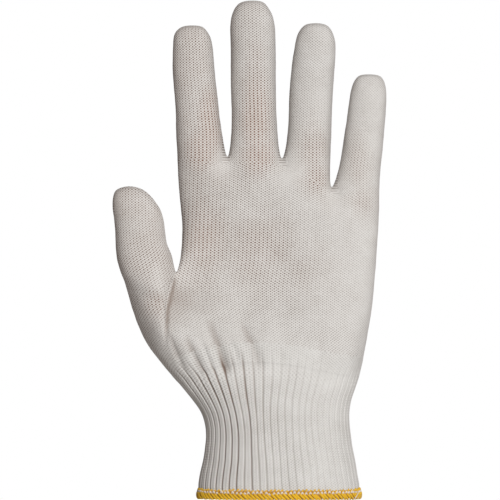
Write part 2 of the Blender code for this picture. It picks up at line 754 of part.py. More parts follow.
def build_hem():
    """Rolled edge with a groove that holds the cuff's edge."""
    turns = even_turns(RIB_COUNT)
    base = [body_point(across, side, 0.0) for across, side in turns]
    outward = ring_outward(turns, base, True)
    middle = CUFF_WALL / 2.0
    groove = EDGE_WALL / 2.0 + THREAD_GAP
    half = groove + HEM_SKIN
    profile = [(side * half, up * HEM_HEIGHT) for side, up in HEM_OUTSIDE]
    floor = HEM_HEIGHT - HEM_GRIP - THREAD_GAP
    profile += [(-groove, HEM_HEIGHT), (-groove, floor), (groove, floor), (groove, HEM_HEIGHT)]
    mesh = bmesh.new()
    rings = []
    for side, up in profile:
        places = [body_point(across, facing, up) for across, facing in turns]
        places = [Vector((place.x, place.y, up)) + away * (side - middle)
                  for place, away in zip(places, outward)]
        rings.append(add_ring(mesh, places))
    for low, high in zip(rings, rings[1:] + rings[:1]):
        join_rings(mesh, low, high)
    return finish_piece("overlock_hem", mesh, "hem")


for old in list(bpy.data.objects):
    bpy.data.objects.remove(old)

surface = fitted_form()
press_folds(surface)
wall = walled(surface)
form = bmesh.new()
form.from_mesh(surface)
form.verts.ensure_lookup_table()
form.verts.index_update()
form.faces.index_update()
form.normal_update()
form_pieces = form.faces.layers.int["piece"]
for piece_name in PIECES:
    cut_piece(piece_name, form, wall, form_pieces)
form.free()
bpy.data.meshes.remove(surface)
bpy.data.meshes.remove(wall)
build_cuff()
build_hem()
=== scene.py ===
# %% [markdown]
# The real object is a seamless work glove, knitted on a flat bed machine from a textured polyester
# yarn. The fingers, the thumb and the palm are one continuous single jersey, the wrist is ribbed
# with an elastic yarn, and the cut edge is bound by an overlock stitch in a coloured thread that
# tells the size. A hand fills it, so it keeps the shape of a hand.
# One unbroken surface is built here, because that is how the machine makes it.

# %% Start: the solids in their frame
import math
from collections import namedtuple

import bmesh
import bpy
import numpy as np
from mathutils import Matrix, Vector
from mathutils.bvhtree import BVHTree


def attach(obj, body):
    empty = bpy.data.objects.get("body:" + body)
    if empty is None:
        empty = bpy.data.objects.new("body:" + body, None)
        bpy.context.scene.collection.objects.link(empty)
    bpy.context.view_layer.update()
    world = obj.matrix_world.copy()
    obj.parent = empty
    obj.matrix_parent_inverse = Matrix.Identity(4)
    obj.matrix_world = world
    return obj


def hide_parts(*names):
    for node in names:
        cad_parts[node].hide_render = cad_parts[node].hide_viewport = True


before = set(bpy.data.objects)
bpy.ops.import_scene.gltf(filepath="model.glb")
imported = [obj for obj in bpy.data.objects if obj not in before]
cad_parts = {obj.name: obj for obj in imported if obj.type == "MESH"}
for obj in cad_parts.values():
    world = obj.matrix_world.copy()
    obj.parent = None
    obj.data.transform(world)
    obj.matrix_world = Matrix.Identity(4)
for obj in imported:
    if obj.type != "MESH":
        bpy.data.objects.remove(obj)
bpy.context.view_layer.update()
MM = 0.001
print("solids:", sorted(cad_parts))

# %% [markdown]
# A knitwear designer works from a size chart: hand width, hand length, finger lengths, the depth of
# the wrist rib. The same few sizes drive the surface here, in millimetres, and every other length
# is a share of one of them.

# %% Sizes of the glove
BODY_HEIGHT = 159.0      # cuff mouth to the start of the index finger
HAND_WIDTH = 89.0        # across the palm below the fingers
HAND_DEPTH = 28.0        # palm to back in the middle of the hand
CUFF_HEIGHT = 64.0       # cuff mouth to the top of the ribs in the middle
INDEX_LENGTH = 61.9
MIDDLE_LENGTH = 74.2
RING_LENGTH = 70.7
LITTLE_LENGTH = 55.6
THUMB_LENGTH = 48.3
FINGER_WIDTH = 20.0      # a finger at half its length
FINGER_DEPTH = 18.5
KNIT_WALL = 1.1
RIB_WALL = 0.7
WRIST = 0.185            # height of the narrowest place, share of BODY_HEIGHT
JOIN = 13.0              # how far above the rib tops the ribbed cloth runs out under the jersey
INSET = 1.5              # how far the jersey lies inside the ribbed cloth at the rib tops
RIB_COUNT = 56
FIT_ROUNDS = 2
PIECES = ("index_finger", "middle_finger", "ring_finger", "little_finger", "thumb", "palm")
CORNER = 0.74            # how far out the corners of a digit's section lie, share of its half width
ROUNDING = 3             # levels of the rounded surface
HEM_HEIGHT = 4.7
RIB_DEPTH = 1.15         # how deep the valley between two ribs lies
COURSE = 1.195           # height of a row of stitches
THREAD = 0.36            # half the thickness of an overlock thread
print("hand", HAND_WIDTH, "wide,", BODY_HEIGHT + MIDDLE_LENGTH, "long, in mm")


def table(columns, *rows):
    """A table whose columns have names."""
    row_kind = namedtuple("Row", columns)
    return [row_kind(*row) for row in rows]


def column(rows, name):
    """One column of a table, as an array."""
    return np.array([getattr(row, name) for row in rows])


# %% [markdown]
# The outline of cuff and palm is a column of sections, as a pattern cutter lists widths at heights.
# Each row is one height; the surface passes smoothly through the rows.

# %% Outline of cuff and palm
# up: share of BODY_HEIGHT. left, right: shares of HAND_WIDTH from the middle of the cuff mouth.
# front, back: shares of HAND_DEPTH. square: roundness of the section.
OUTLINE = table(
    "up left right front back square",
    (0.000, -0.429, 0.428, 0.925, 0.925, 2.15),
    (0.035, -0.427, 0.420, 0.905, 0.905, 2.15),
    (0.076, -0.416, 0.407, 0.870, 0.870, 2.15),
    (0.114, -0.400, 0.396, 0.840, 0.835, 2.15),
    (0.152, -0.390, 0.382, 0.815, 0.805, 2.15),
    (0.185, -0.385, 0.374, 0.800, 0.785, 2.15),
    (0.220, -0.391, 0.367, 0.795, 0.765, 2.15),
    (0.255, -0.412, 0.366, 0.790, 0.740, 2.15),
    (0.290, -0.455, 0.376, 0.785, 0.705, 2.15),
    (0.325, -0.507, 0.397, 0.775, 0.665, 2.15),
    (0.360, -0.561, 0.418, 0.760, 0.625, 2.2),
    (0.407, -0.631, 0.437, 0.720, 0.580, 2.2),
    (0.448, -0.686, 0.450, 0.670, 0.550, 2.25),
    (0.489, -0.727, 0.463, 0.620, 0.530, 2.3),
    (0.525, -0.749, 0.474, 0.590, 0.520, 2.3),
    (0.571, -0.700, 0.486, 0.560, 0.510, 2.4),
    (0.663, -0.513, 0.502, 0.520, 0.495, 2.5),
    (0.703, -0.509, 0.507, 0.510, 0.490, 2.5),
    (0.744, -0.507, 0.511, 0.505, 0.485, 2.5),
    (0.823, -0.511, 0.517, 0.500, 0.475, 2.5),
    (0.879, -0.518, 0.521, 0.490, 0.460, 2.5),
    (0.935, -0.527, 0.526, 0.470, 0.430, 2.5),
    (1.000, -0.532, 0.532, 0.400, 0.380, 2.5),
)

# Top line of the ribs. across: -1 at the left edge, 1 at the right. up: share of CUFF_HEIGHT.
CUFF_LINE = table(
    "across up",
    (-1.00, 0.830),
    (-0.85, 0.880),
    (-0.55, 0.950),
    (-0.15, 1.000),
    (0.25, 0.985),
    (0.65, 0.930),
    (0.88, 0.900),
    (1.00, 0.895),
)

# %% [markdown]
# The surface needs a net of few points that follow the hand: one column to each finger and one to
# each web between two fingers, so that the fingers can start from the net without a seam. The real
# glove is knitted the same way, each finger from its own group of needles.

# %% Columns and rows of the palm's net
# Columns of the hand's form, from left to right. top: place across under the fingers. low: place
# across at the cuff. line: height where the fingers start, share of BODY_HEIGHT. deep: share of
# HAND_DEPTH there.
FRONT_COLUMNS = table(
    "name top low line deep",
    ("left_edge", -0.955, -0.900, 0.998, 0.250),
    ("index", -0.760, -0.640, 0.992, 0.400),
    ("web_one", -0.510, -0.370, 0.982, 0.330),
    ("middle", -0.245, -0.075, 0.988, 0.410),
    ("web_two", 0.022, 0.190, 0.976, 0.330),
    ("ring", 0.270, 0.420, 0.948, 0.400),
    ("web_three", 0.515, 0.630, 0.895, 0.320),
    ("little", 0.755, 0.800, 0.893, 0.360),
    ("right_edge", 0.955, 0.925, 0.883, 0.220),
)
BACK_COLUMNS = table(
    "name top low line deep",
    ("left_edge", -0.955, -0.900, 0.994, 0.240),
    ("index", -0.760, -0.690, 0.985, 0.380),
    ("web_one", -0.510, -0.460, 0.962, 0.330),
    ("middle", -0.245, -0.230, 0.975, 0.400),
    ("web_two", 0.022, 0.000, 0.955, 0.330),
    ("ring", 0.270, 0.230, 0.930, 0.380),
    ("web_three", 0.515, 0.460, 0.876, 0.310),
    ("little", 0.755, 0.690, 0.875, 0.340),
    ("right_edge", 0.955, 0.900, 0.878, 0.210),
)
# Height of the webs and the outer edges where the fingers start, shares of BODY_HEIGHT
EDGE_LINES = {"left_edge": 1.000, "web_one": 0.997, "web_two": 0.991, "web_three": 0.909,
              "right_edge": 0.880}

# Rows of the palm from the cuff line to the finger line, as shares of the way up
PALM_ROWS = (0.0, 0.085, 0.170, 0.265, 0.375, 0.490, 0.610, 0.740, 0.870, 1.0)
THUMB_ROWS = (3, 5)      # lowest and highest row of the ring that the thumb starts from

# Points of the palm where the thumb starts and along the crease beside it. x: share of
# HAND_WIDTH. y: share of HAND_DEPTH. z: share of BODY_HEIGHT.
PLACED = table(
    "row column side x y z",
    (2, "left_edge", "front", -0.685, -0.560, 0.520),
    (3, "left_edge", "edge", -0.793, -0.330, 0.612),
    (3, "left_edge", "front", -0.722, -0.700, 0.606),
    (4, "left_edge", "front", -0.618, -0.835, 0.616),
    (5, "left_edge", "front", -0.552, -0.475, 0.650),
    (5, "left_edge", "edge", -0.532, -0.320, 0.655),
    (5, "left_edge", "back", -0.556, -0.060, 0.652),
    (4, "left_edge", "back", -0.650, 0.060, 0.635),
    (3, "left_edge", "back", -0.745, 0.000, 0.616),
    (6, "left_edge", "front", -0.497, -0.330, 0.735),
    (5, "index", "front", -0.480, -0.430, 0.652),
    (4, "index", "front", -0.525, -0.520, 0.594),
    (3, "index", "front", -0.538, -0.640, 0.538),
    (2, "index", "front", -0.530, -0.730, 0.478),
)

# %% [markdown]
# Fingers and thumb are tubes, listed ring by ring. They lean a little to the palm side, as the
# fingers of a relaxed hand do, and the thumb lies in front of the palm.

# %% Rings of the fingers and the thumb
# The four fingers. deep: share of FINGER_DEPTH. from_edge, to_edge: where the finger starts.
FINGERS = table(
    "name length deep from_edge to_edge",
    ("index_finger", INDEX_LENGTH, 0.950, "left_edge", "web_one"),
    ("middle_finger", MIDDLE_LENGTH, 1.000, "web_one", "web_two"),
    ("ring_finger", RING_LENGTH, 0.960, "web_two", "web_three"),
    ("little_finger", LITTLE_LENGTH, 0.860, "web_three", "right_edge"),
)
# Rings of the fingers. up: share of the length. middle: share of HAND_WIDTH from the middle of
# the cuff mouth. wide: share of FINGER_WIDTH. deep: share of the finger's depth. curl: share of
# FINGER_DEPTH by which the finger leans to the palm side.
FINGER_RINGS = table(
    "name up middle wide deep curl",
    ("index_finger", 0.200, -0.421, 1.060, 1.04, 0.03),
    ("index_finger", 0.420, -0.434, 1.000, 1.00, 0.07),
    ("index_finger", 0.640, -0.448, 0.970, 0.96, 0.12),
    ("index_finger", 0.830, -0.453, 0.928, 0.88, 0.19),
    ("index_finger", 0.935, -0.460, 0.795, 0.73, 0.25),
    ("index_finger", 0.983, -0.456, 0.510, 0.48, 0.28),
    ("middle_finger", 0.200, -0.131, 1.080, 1.04, 0.03),
    ("middle_finger", 0.420, -0.136, 1.046, 1.00, 0.07),
    ("middle_finger", 0.640, -0.137, 1.042, 0.97, 0.12),
    ("middle_finger", 0.840, -0.141, 1.036, 0.90, 0.19),
    ("middle_finger", 0.935, -0.144, 0.839, 0.74, 0.25),
    ("middle_finger", 0.983, -0.144, 0.559, 0.48, 0.28),
    ("ring_finger", 0.200, 0.154, 1.010, 1.03, 0.03),
    ("ring_finger", 0.420, 0.162, 1.002, 1.00, 0.07),
    ("ring_finger", 0.640, 0.171, 0.978, 0.97, 0.12),
    ("ring_finger", 0.830, 0.187, 0.952, 0.90, 0.19),
    ("ring_finger", 0.935, 0.191, 0.792, 0.74, 0.25),
    ("ring_finger", 0.983, 0.191, 0.512, 0.48, 0.28),
    ("little_finger", 0.200, 0.419, 0.945, 1.04, 0.04),
    ("little_finger", 0.420, 0.437, 0.920, 1.00, 0.08),
    ("little_finger", 0.640, 0.454, 0.880, 0.97, 0.13),
    ("little_finger", 0.820, 0.464, 0.836, 0.90, 0.19),
    ("little_finger", 0.930, 0.468, 0.715, 0.74, 0.24),
    ("little_finger", 0.982, 0.469, 0.495, 0.48, 0.27),
)
# Rings of the thumb. left_x, right_x: shares of HAND_WIDTH. left_z, right_z: heights above the
# thumb's lowest base point, shares of THUMB_LENGTH. y: share of HAND_DEPTH. deep: share of
# FINGER_DEPTH.
THUMB_RINGS = table(
    "left_x left_z right_x right_z y deep",
    (-0.819, 0.137, -0.560, 0.311, -0.370, 1.30),
    (-0.849, 0.311, -0.586, 0.426, -0.410, 1.26),
    (-0.857, 0.484, -0.596, 0.542, -0.460, 1.20),
    (-0.861, 0.658, -0.605, 0.677, -0.520, 1.12),
    (-0.870, 0.812, -0.634, 0.822, -0.575, 0.94),
    (-0.856, 0.947, -0.696, 0.947, -0.615, 0.58),
)
THUMB_FOOT = 0.612       # height of the thumb's lowest base point, share of BODY_HEIGHT
THUMB_TIP_X = -0.777
THUMB_TIP_Y = -0.630
# Swellings of the palm and the back. across, up: middle, as shares of HAND_WIDTH and
# BODY_HEIGHT. wide, tall: reach, the same way. out: share of HAND_DEPTH; negative is a hollow.
SWELLS = table(
    "name side across up wide tall out",
    ("ball_of_thumb", "front", -0.560, 0.500, 0.200, 0.110, 0.200),
    ("heel_of_hand", "front", 0.330, 0.480, 0.200, 0.140, 0.080),
    ("hollow_of_hand", "front", -0.080, 0.680, 0.200, 0.130, -0.070),
    ("knuckle_one", "back", -0.400, 0.900, 0.090, 0.050, 0.060),
    ("knuckle_two", "back", -0.130, 0.910, 0.090, 0.050, 0.070),
    ("knuckle_three", "back", 0.140, 0.890, 0.090, 0.050, 0.060),
    ("knuckle_four", "back", 0.390, 0.840, 0.080, 0.050, 0.050),
)

# %% [markdown]
# Points of the wrist and palm come from the outline table. The section is a rounded oblong whose
# squareness changes with height, because a wrist is nearly an oval and a palm is flatter.

# %% Points on the wrist and the palm
def smooth_row(rows, key):
    """Reads a table at key in its first column, along a smooth curve through its rows."""
    keys = [row[0] for row in rows]
    key = min(max(key, keys[0]), keys[-1])
    at = 0
    while at < len(keys) - 2 and key > keys[at + 1]:
        at += 1
    span = keys[at + 1] - keys[at]
    t = (key - keys[at]) / span
    found = []
    for part in range(1, len(rows[0])):
        start = rows[at][part]
        end = rows[at + 1][part]
        slope_in = (end - start) / span
        slope_out = slope_in
        if at > 0:
            slope_in = (end - rows[at - 1][part]) / (keys[at + 1] - keys[at - 1])
        if at < len(keys) - 2:
            slope_out = (rows[at + 2][part] - start) / (keys[at + 2] - keys[at])
        h00 = (1.0 + 2.0 * t) * (1.0 - t) ** 2
        h10 = t * (1.0 - t) ** 2
        h01 = t * t * (3.0 - 2.0 * t)
        h11 = t * t * (t - 1.0)
        found.append(h00 * start + h10 * span * slope_in + h01 * end + h11 * span * slope_out)
    return found


def edges_at(height):
    """Left, right, front and back of the hand in millimetres at a height, and its squareness."""
    left, right, front, back, square = smooth_row(OUTLINE, height / BODY_HEIGHT)
    return (left * HAND_WIDTH, right * HAND_WIDTH, -front * HAND_DEPTH, back * HAND_DEPTH,
            square)


def body_point(across, side, height):
    """Point on the hand's outside; across runs -1 to 1, side is -1 for palm and 1 for back."""
    left, right, front, back, square = edges_at(height)
    x = (left + right) / 2.0 + across * (right - left) / 2.0
    fullness = max(0.0, 1.0 - abs(across) ** square) ** (1.0 / square)
    y = (front if side < 0 else back) * fullness
    return Vector((x, y, height))


def cuff_line(across):
    """Height of the rib tops at a place across the hand."""
    return smooth_row(CUFF_LINE, across)[0] * CUFF_HEIGHT


def swell(point, side):
    """Moves a point of the palm or back outwards by the swellings near it."""
    out = 0.0
    for row in SWELLS:
        if row.side != side:
            continue
        dx = (point.x / HAND_WIDTH - row.across) / row.wide
        dz = (point.z / BODY_HEIGHT - row.up) / row.tall
        out += row.out * HAND_DEPTH * math.exp(-dx * dx - dz * dz)
    facing = -1.0 if side == "front" else 1.0
    return Vector((point.x, point.y + facing * out, point.z))


# %% [markdown]
# The palm's net runs from the rib tops to the line where the fingers start. Beside the thumb its
# rows part, and the opening between them is the ring that the thumb grows from.

# %% The palm's points
def hand_columns():
    """The columns round the hand: left edge, palm from left to right, right edge, back."""
    ring = [("left_edge", "edge", -1.0, -1.0)]
    ring += [(row.name, "front", row.top, row.low) for row in FRONT_COLUMNS]
    ring.append(("right_edge", "edge", 1.0, 1.0))
    ring += [(row.name, "back", row.top, row.low) for row in reversed(BACK_COLUMNS)]
    return ring


def finger_line_point(name, side):
    """Point of the line where the fingers start."""
    if side == "edge":
        place = -1.0 if name == "left_edge" else 1.0
        return body_point(place, -1, EDGE_LINES[name] * BODY_HEIGHT)
    rows = FRONT_COLUMNS if side == "front" else BACK_COLUMNS
    row = [row for row in rows if row.name == name][0]
    point = body_point(row.top, -1, row.line * BODY_HEIGHT)
    point.y = (-row.deep if side == "front" else row.deep) * HAND_DEPTH
    return point


def palm_height(at, name, low, high):
    """Height of a palm row; beside the thumb the rows part evenly above and below it."""
    if name != "left_edge":
        return low + (high - low) * PALM_ROWS[at]
    thumb_low, thumb_high = THUMB_ROWS
    if at < thumb_low:
        return low + (THUMB_FOOT * BODY_HEIGHT - low) * at / thumb_low
    web = [row.z for row in PLACED if row.row == thumb_high and row.side == "edge"][0]
    share = (at - thumb_high) / (len(PALM_ROWS) - 1 - thumb_high)
    return web * BODY_HEIGHT + (high - web * BODY_HEIGHT) * share


def palm_points():
    """Rows of points over palm and back, from the cuff line to the finger line."""
    placed = {(row.row, row.column, row.side):
              Vector((row.x * HAND_WIDTH, row.y * HAND_DEPTH, row.z * BODY_HEIGHT))
              for row in PLACED}
    rows = []
    for at, share in enumerate(PALM_ROWS):
        ring = []
        for name, side, top, low in hand_columns():
            if at == len(PALM_ROWS) - 1:
                ring.append(finger_line_point(name, side))
                continue
            if (at, name, side) in placed:
                ring.append(placed[(at, name, side)])
                continue
            across = low + (top - low) * share
            height = palm_height(at, name, cuff_line(low), finger_line_point(name, side).z)
            point = body_point(across, 1 if side == "back" else -1, height)
            if side != "edge" and at > 0:
                point = swell(point, side)
            ring.append(point)
        rows.append(ring)
    return rows

# %% Rings of points round each digit
def section_ring(left, right, front, back, z_left, z_right):
    """Eight points round a digit: left-front, front, right-front, right, then the back way."""
    middle = (left + right) / 2.0
    half = (right - left) / 2.0
    centre = (front + back) / 2.0
    deep = (back - front) / 2.0
    heights = (z_left, (z_left + z_right) / 2.0, z_right)
    turns = ((-CORNER, -CORNER, 0), (0.0, -1.0, 1), (CORNER, -CORNER, 2), (1.0, 0.0, 2),
             (CORNER, CORNER, 2), (0.0, 1.0, 1), (-CORNER, CORNER, 0), (-1.0, 0.0, 0))
    return [Vector((middle + half * x, centre + deep * y, heights[z])) for x, y, z in turns]


def finger_rings(finger, z_left, z_right):
    """Rings of a finger above its base, and its tip."""
    tip = (z_left + z_right) / 2.0 + finger.length
    rings = []
    rows = [row for row in FINGER_RINGS if row.name == finger.name]
    for row in rows:
        middle = row.middle * HAND_WIDTH
        half = row.wide * FINGER_WIDTH / 2.0
        centre = -row.curl * FINGER_DEPTH
        half_deep = row.deep * finger.deep * FINGER_DEPTH / 2.0
        rings.append(section_ring(
            middle - half, middle + half, centre - half_deep, centre + half_deep,
            z_left + (tip - z_left) * row.up, z_right + (tip - z_right) * row.up))
    return rings, Vector((rows[-1].middle * HAND_WIDTH, -rows[-1].curl * FINGER_DEPTH, tip))


def thumb_rings():
    """Rings of the thumb above its base, and its tip."""
    foot = THUMB_FOOT * BODY_HEIGHT
    rings = []
    for row in THUMB_RINGS:
        half = row.deep * FINGER_DEPTH / 2.0
        centre = row.y * HAND_DEPTH
        rings.append(section_ring(
            row.left_x * HAND_WIDTH, row.right_x * HAND_WIDTH, centre - half, centre + half,
            foot + row.left_z * THUMB_LENGTH, foot + row.right_z * THUMB_LENGTH))
    tip = Vector((THUMB_TIP_X * HAND_WIDTH, THUMB_TIP_Y * HAND_DEPTH, foot + THUMB_LENGTH))
    return rings, tip

# %% [markdown]
# Palm, fingers and thumb become one closed net, because the glove is one tube that branches. Each
# face keeps the number of the stage of knitting that it belongs to.

# %% One net from palm, fingers and thumb
def build_form():
    """The whole hand as a coarse closed net, its points still on the cloth's surface."""
    form = bmesh.new()
    piece_of = form.faces.layers.int.new("piece")
    columns = hand_columns()
    count = len(columns)
    names = {(name, side): at for at, (name, side, _, _) in enumerate(columns)}
    left = names[("left_edge", "edge")]
    thumb_low, thumb_high = THUMB_ROWS
    rows = []
    for at, ring in enumerate(palm_points()):
        inside = thumb_low < at < thumb_high
        rows.append([None if inside and place == left else form.verts.new(point)
                     for place, point in enumerate(ring)])

    thumb_columns = (count - 1, left)
    for at in range(len(rows) - 1):
        for place in range(count):
            if place in thumb_columns and thumb_low <= at < thumb_high:
                continue
            after = (place + 1) % count
            face = form.faces.new((rows[at][place], rows[at][after],
                                   rows[at + 1][after], rows[at + 1][place]))
            face[piece_of] = PIECES.index("palm")

    top = rows[-1]
    webs = {"left_edge": top[names[("left_edge", "edge")]],
            "right_edge": top[names[("right_edge", "edge")]]}
    for web in ("web_one", "web_two", "web_three"):
        front = top[names[(web, "front")]].co
        back = top[names[(web, "back")]].co
        height = EDGE_LINES[web] * BODY_HEIGHT
        webs[web] = form.verts.new(((front.x + back.x) / 2.0, (front.y + back.y) / 2.0, height))

    for finger in FINGERS:
        inner = finger.name.split("_")[0]
        near = webs[finger.from_edge]
        far = webs[finger.to_edge]
        base = [top[names[(finger.from_edge, "front")]], top[names[(inner, "front")]],
                top[names[(finger.to_edge, "front")]], far,
                top[names[(finger.to_edge, "back")]], top[names[(inner, "back")]],
                top[names[(finger.from_edge, "back")]], near]
        rings, tip = finger_rings(finger, near.co.z, far.co.z)
        add_digit(form, base, rings, tip, piece_of, PIECES.index(finger.name))

    front = names[("left_edge", "front")]
    back = names[("left_edge", "back")]
    low, middle, high = rows[thumb_low:thumb_high + 1]
    base = [low[front], middle[front], high[front], high[left],
            high[back], middle[back], low[back], low[left]]
    rings, tip = thumb_rings()
    add_digit(form, base, rings, tip, piece_of, PIECES.index("thumb"))
    form.normal_update()
    return form


def add_digit(form, base, rings, tip, piece_of, piece):
    """Sets a digit's rings on its base and closes the tip."""
    below = base
    for ring in rings:
        verts = [form.verts.new(point) for point in ring]
        for at in range(len(verts)):
            after = (at + 1) % len(verts)
            face = form.faces.new((below[at], below[after], verts[after], verts[at]))
            face[piece_of] = piece
        below = verts
    end = form.verts.new(tip)
    for at in range(0, len(below), 2):
        after = (at + 2) % len(below)
        face = form.faces.new((end, below[at], below[at + 1], below[after]))
        face[piece_of] = piece


# %% [markdown]
# Jersey pulled over a hand has no hard edges, so the net is rounded by a subdivision surface. That
# pulls the cloth inwards, so the net is first moved outwards until the cloth passes through the
# places that were measured.

# %% The rounded cloth
def modified(mesh, kind, **settings):
    """The mesh after one of Blender's modifiers, with these settings."""
    holder = bpy.data.objects.new("holder", mesh)
    bpy.context.scene.collection.objects.link(holder)
    modifier = holder.modifiers.new("change", kind)
    for name, value in settings.items():
        setattr(modifier, name, value)
    graph = bpy.context.evaluated_depsgraph_get()
    result = bpy.data.meshes.new_from_object(holder.evaluated_get(graph))
    bpy.data.objects.remove(holder)
    return result


def rounded(mesh, levels):
    """The net rounded off by Blender's subdivision surface."""
    return modified(mesh, "SUBSURF", levels=levels, render_levels=levels)


def fitted_net():
    """The net after its points have been moved until the rounded cloth fits them."""
    form = build_form()
    mesh = bpy.data.meshes.new("net")
    form.to_mesh(mesh)
    form.free()
    asked = [vertex.co.copy() for vertex in mesh.vertices]
    for _ in range(FIT_ROUNDS):
        surface = rounded(mesh, 1)
        for at, place in enumerate(asked):
            mesh.vertices[at].co += place - surface.vertices[at].co
        bpy.data.meshes.remove(surface)
    return mesh


cloth = rounded(fitted_net(), ROUNDING)
cloth_faces = [list(polygon.vertices) for polygon in cloth.polygons]
tree = BVHTree.FromPolygons([vertex.co for vertex in cloth.vertices], cloth_faces)
print("rounded cloth:", len(cloth.polygons), "faces")

# %% [markdown]
# Where the elastic rib pulls the jersey in, the spare width stands in folds that run up from the rib
# tops, strongest below the ball of the thumb. Each fold is a sharp groove with a soft roll of cloth
# on its light side. The crease beside the thumb is where the thumb's tube meets the palm, and the
# palm dips towards it. Rows give the line of a fold from its lower to its upper end, in millimetres
# across and up.

# %% Folds and the thumb's crease
FOLD_LINES = table(
    "name x0 z0 x1 z1 x2 z2 wide depth roll",
    ("fold_a", -23.6, 57.5, -26.5, 65.0, -33.0, 84.0, 3.4, 2.50, 1.50),
    ("fold_b", -8.5, 60.0, -12.0, 69.5, -19.5, 85.0, 3.4, 2.20, 1.30),
    ("fold_c", -34.5, 56.0, -39.0, 65.5, -44.5, 78.0, 2.8, 1.40, 0.80),
    ("fold_d", -18.0, 62.0, -20.0, 68.5, -24.0, 76.0, 2.0, 0.70, 0.40),
    ("fold_e", -29.5, 59.0, -33.0, 66.5, -38.0, 77.0, 2.0, 0.80, 0.45),
    ("fold_f", -43.0, 57.0, -47.0, 66.0, -52.0, 79.0, 1.8, 0.80, 0.35),
    ("fold_g", 1.5, 61.5, 0.5, 68.0, -2.0, 75.5, 2.2, 0.45, 0.30),
    ("fold_h", 18.0, 59.5, 18.6, 67.0, 19.5, 78.0, 2.6, 0.40, 0.30),
    ("crease", -53.0, 71.5, -51.8, 89.0, -48.3, 103.6, 1.20, 1.30, 0.00),
)

GROOVE_SHARP = 2.2       # how steeply a fold's groove falls to its bottom
ROLL_PLACE = 2.6         # middle of the roll beside a fold, in widths of the fold
ROLL_WIDTH = 1.9
HOLLOW_DEPTH = 3.2       # the palm dips towards the crease beside the thumb
HOLLOW_WIDTH = 12.0
HOLLOW_EDGE = 1.2        # the hollow's steep side, under the thumb's edge
BANK_PLACE = 3.6         # the thumb's edge stands up this far left of the crease
BANK_WIDTH = 2.8
BANK_HEIGHT = 0.6
FOLD_REACH = 3.2         # the net is cut finer this far from a fold, in widths of the fold
FOLD_CUTS = 2


def held(values, low=0.0, high=1.0):
    """Values kept between two limits."""
    return np.clip(values, low, high)


def line_place(row, x, z):
    """Share of the way along a fold's line and the distance to the right of it, for arrays."""
    points = np.array([(row.x0, row.z0), (row.x1, row.z1), (row.x2, row.z2)])
    share = np.zeros_like(x)
    off = np.full_like(x, 1e9)
    for at in range(2):
        start, end = points[at], points[at + 1]
        along = end - start
        t = ((x - start[0]) * along[0] + (z - start[1]) * along[1]) / (along @ along)
        t = held(t)
        dx = x - start[0] - t * along[0]
        dz = z - start[1] - t * along[1]
        side = np.sign((x - start[0]) * along[1] - (z - start[1]) * along[0])
        near = np.hypot(dx, dz)
        closer = near < np.abs(off)
        off = np.where(closer, side * near, off)
        share = np.where(closer, (at + t) / 2.0, share)
    return share, off


def cut_finer(mesh, reach, cuts):
    """Cuts the net finer along the folds, on the palm side."""
    net = bmesh.new()
    net.from_mesh(mesh)
    centres = np.array([f.calc_center_median()[:] for f in net.faces])
    facing = np.array([f.normal.y for f in net.faces])
    near = np.zeros(len(centres), bool)
    for row in FOLD_LINES:
        _, off = line_place(row, centres[:, 0], centres[:, 2])
        near |= (np.abs(off) < reach * row.wide) & (facing < 0.25)
    net.faces.ensure_lookup_table()
    edges = {edge for at in np.flatnonzero(near) for edge in net.faces[at].edges}
    edges = sorted(edges, key=lambda edge: edge.index)
    bmesh.ops.subdivide_edges(net, edges=edges, cuts=cuts, use_grid_fill=True)
    net.to_mesh(mesh)
    net.free()


def fold_move(x, z, hollow=HOLLOW_DEPTH):
    """How far the cloth moves out (or in, below 0) at places on the palm side."""
    move = np.zeros_like(x)
    for row in FOLD_LINES:
        share, off = line_place(row, x, z)
        ends = held(1.0 - (2.0 * share - 1.0) ** 2)
        if row.name == "crease":
            ends = held((share + 0.02) / 0.35) * held((1.02 - share) / 0.10)
        groove = -row.depth * np.exp(-(off / row.wide) ** 2 * GROOVE_SHARP)
        roll = row.roll * np.exp(-((off - ROLL_PLACE * row.wide) / (ROLL_WIDTH * row.wide)) ** 2)
        move += ends * (groove + roll)
        if row.name == "crease":
            right = np.exp(-off / HOLLOW_WIDTH)
            beside = np.where(off > 0.0, right, np.exp(-(off / HOLLOW_EDGE) ** 2))
            bank = np.exp(-((off + BANK_PLACE) / BANK_WIDTH) ** 2)
            low = held(share / 0.8) ** 1.4 * held((1.02 - share) / 0.40)
            move += ends * BANK_HEIGHT * bank - low * hollow * beside
    return move


# %% Press the folds and give the cloth its small unevenness
def vectors(items, name):
    """A vector of each of a mesh's items, as an array."""
    found = np.empty(len(items) * 3)
    items.foreach_get(name, found)
    return found.reshape(-1, 3)


def numbers(items, name):
    """A whole number of each of a mesh's items, as an array."""
    found = np.empty(len(items), np.int32)
    items.foreach_get(name, found)
    return found


def coordinates(mesh):
    """The mesh's points as an array."""
    return vectors(mesh.vertices, "co")


def palm_facing(outward, more=0.3):
    """1 where the cloth faces the palm side, falling to 0 as it turns to the back."""
    return held(-outward[:, 1] * 2.0 + more)


def across_between(x, left, right):
    """Place across, -1 at the left side and 1 at the right."""
    return (2.0 * x - left - right) / (right - left)


def sides_at(z):
    """Left and right outline at heights, for arrays."""
    up = column(OUTLINE, "up")
    share = z / BODY_HEIGHT
    return [np.interp(share, up, column(OUTLINE, side)) * HAND_WIDTH for side in ("left", "right")]


def ripple(co, size, seed):
    """Smooth unevenness from -1 to 1 with waves of about this size."""
    rng = np.random.default_rng(seed)
    total = np.zeros(len(co))
    for _ in range(7):
        way = rng.normal(size=3)
        way *= rng.uniform(0.7, 1.4) * 2.0 * math.pi / (size * np.linalg.norm(way))
        total += np.sin(co @ way + rng.uniform(0.0, 6.28))
    return total / 3.0


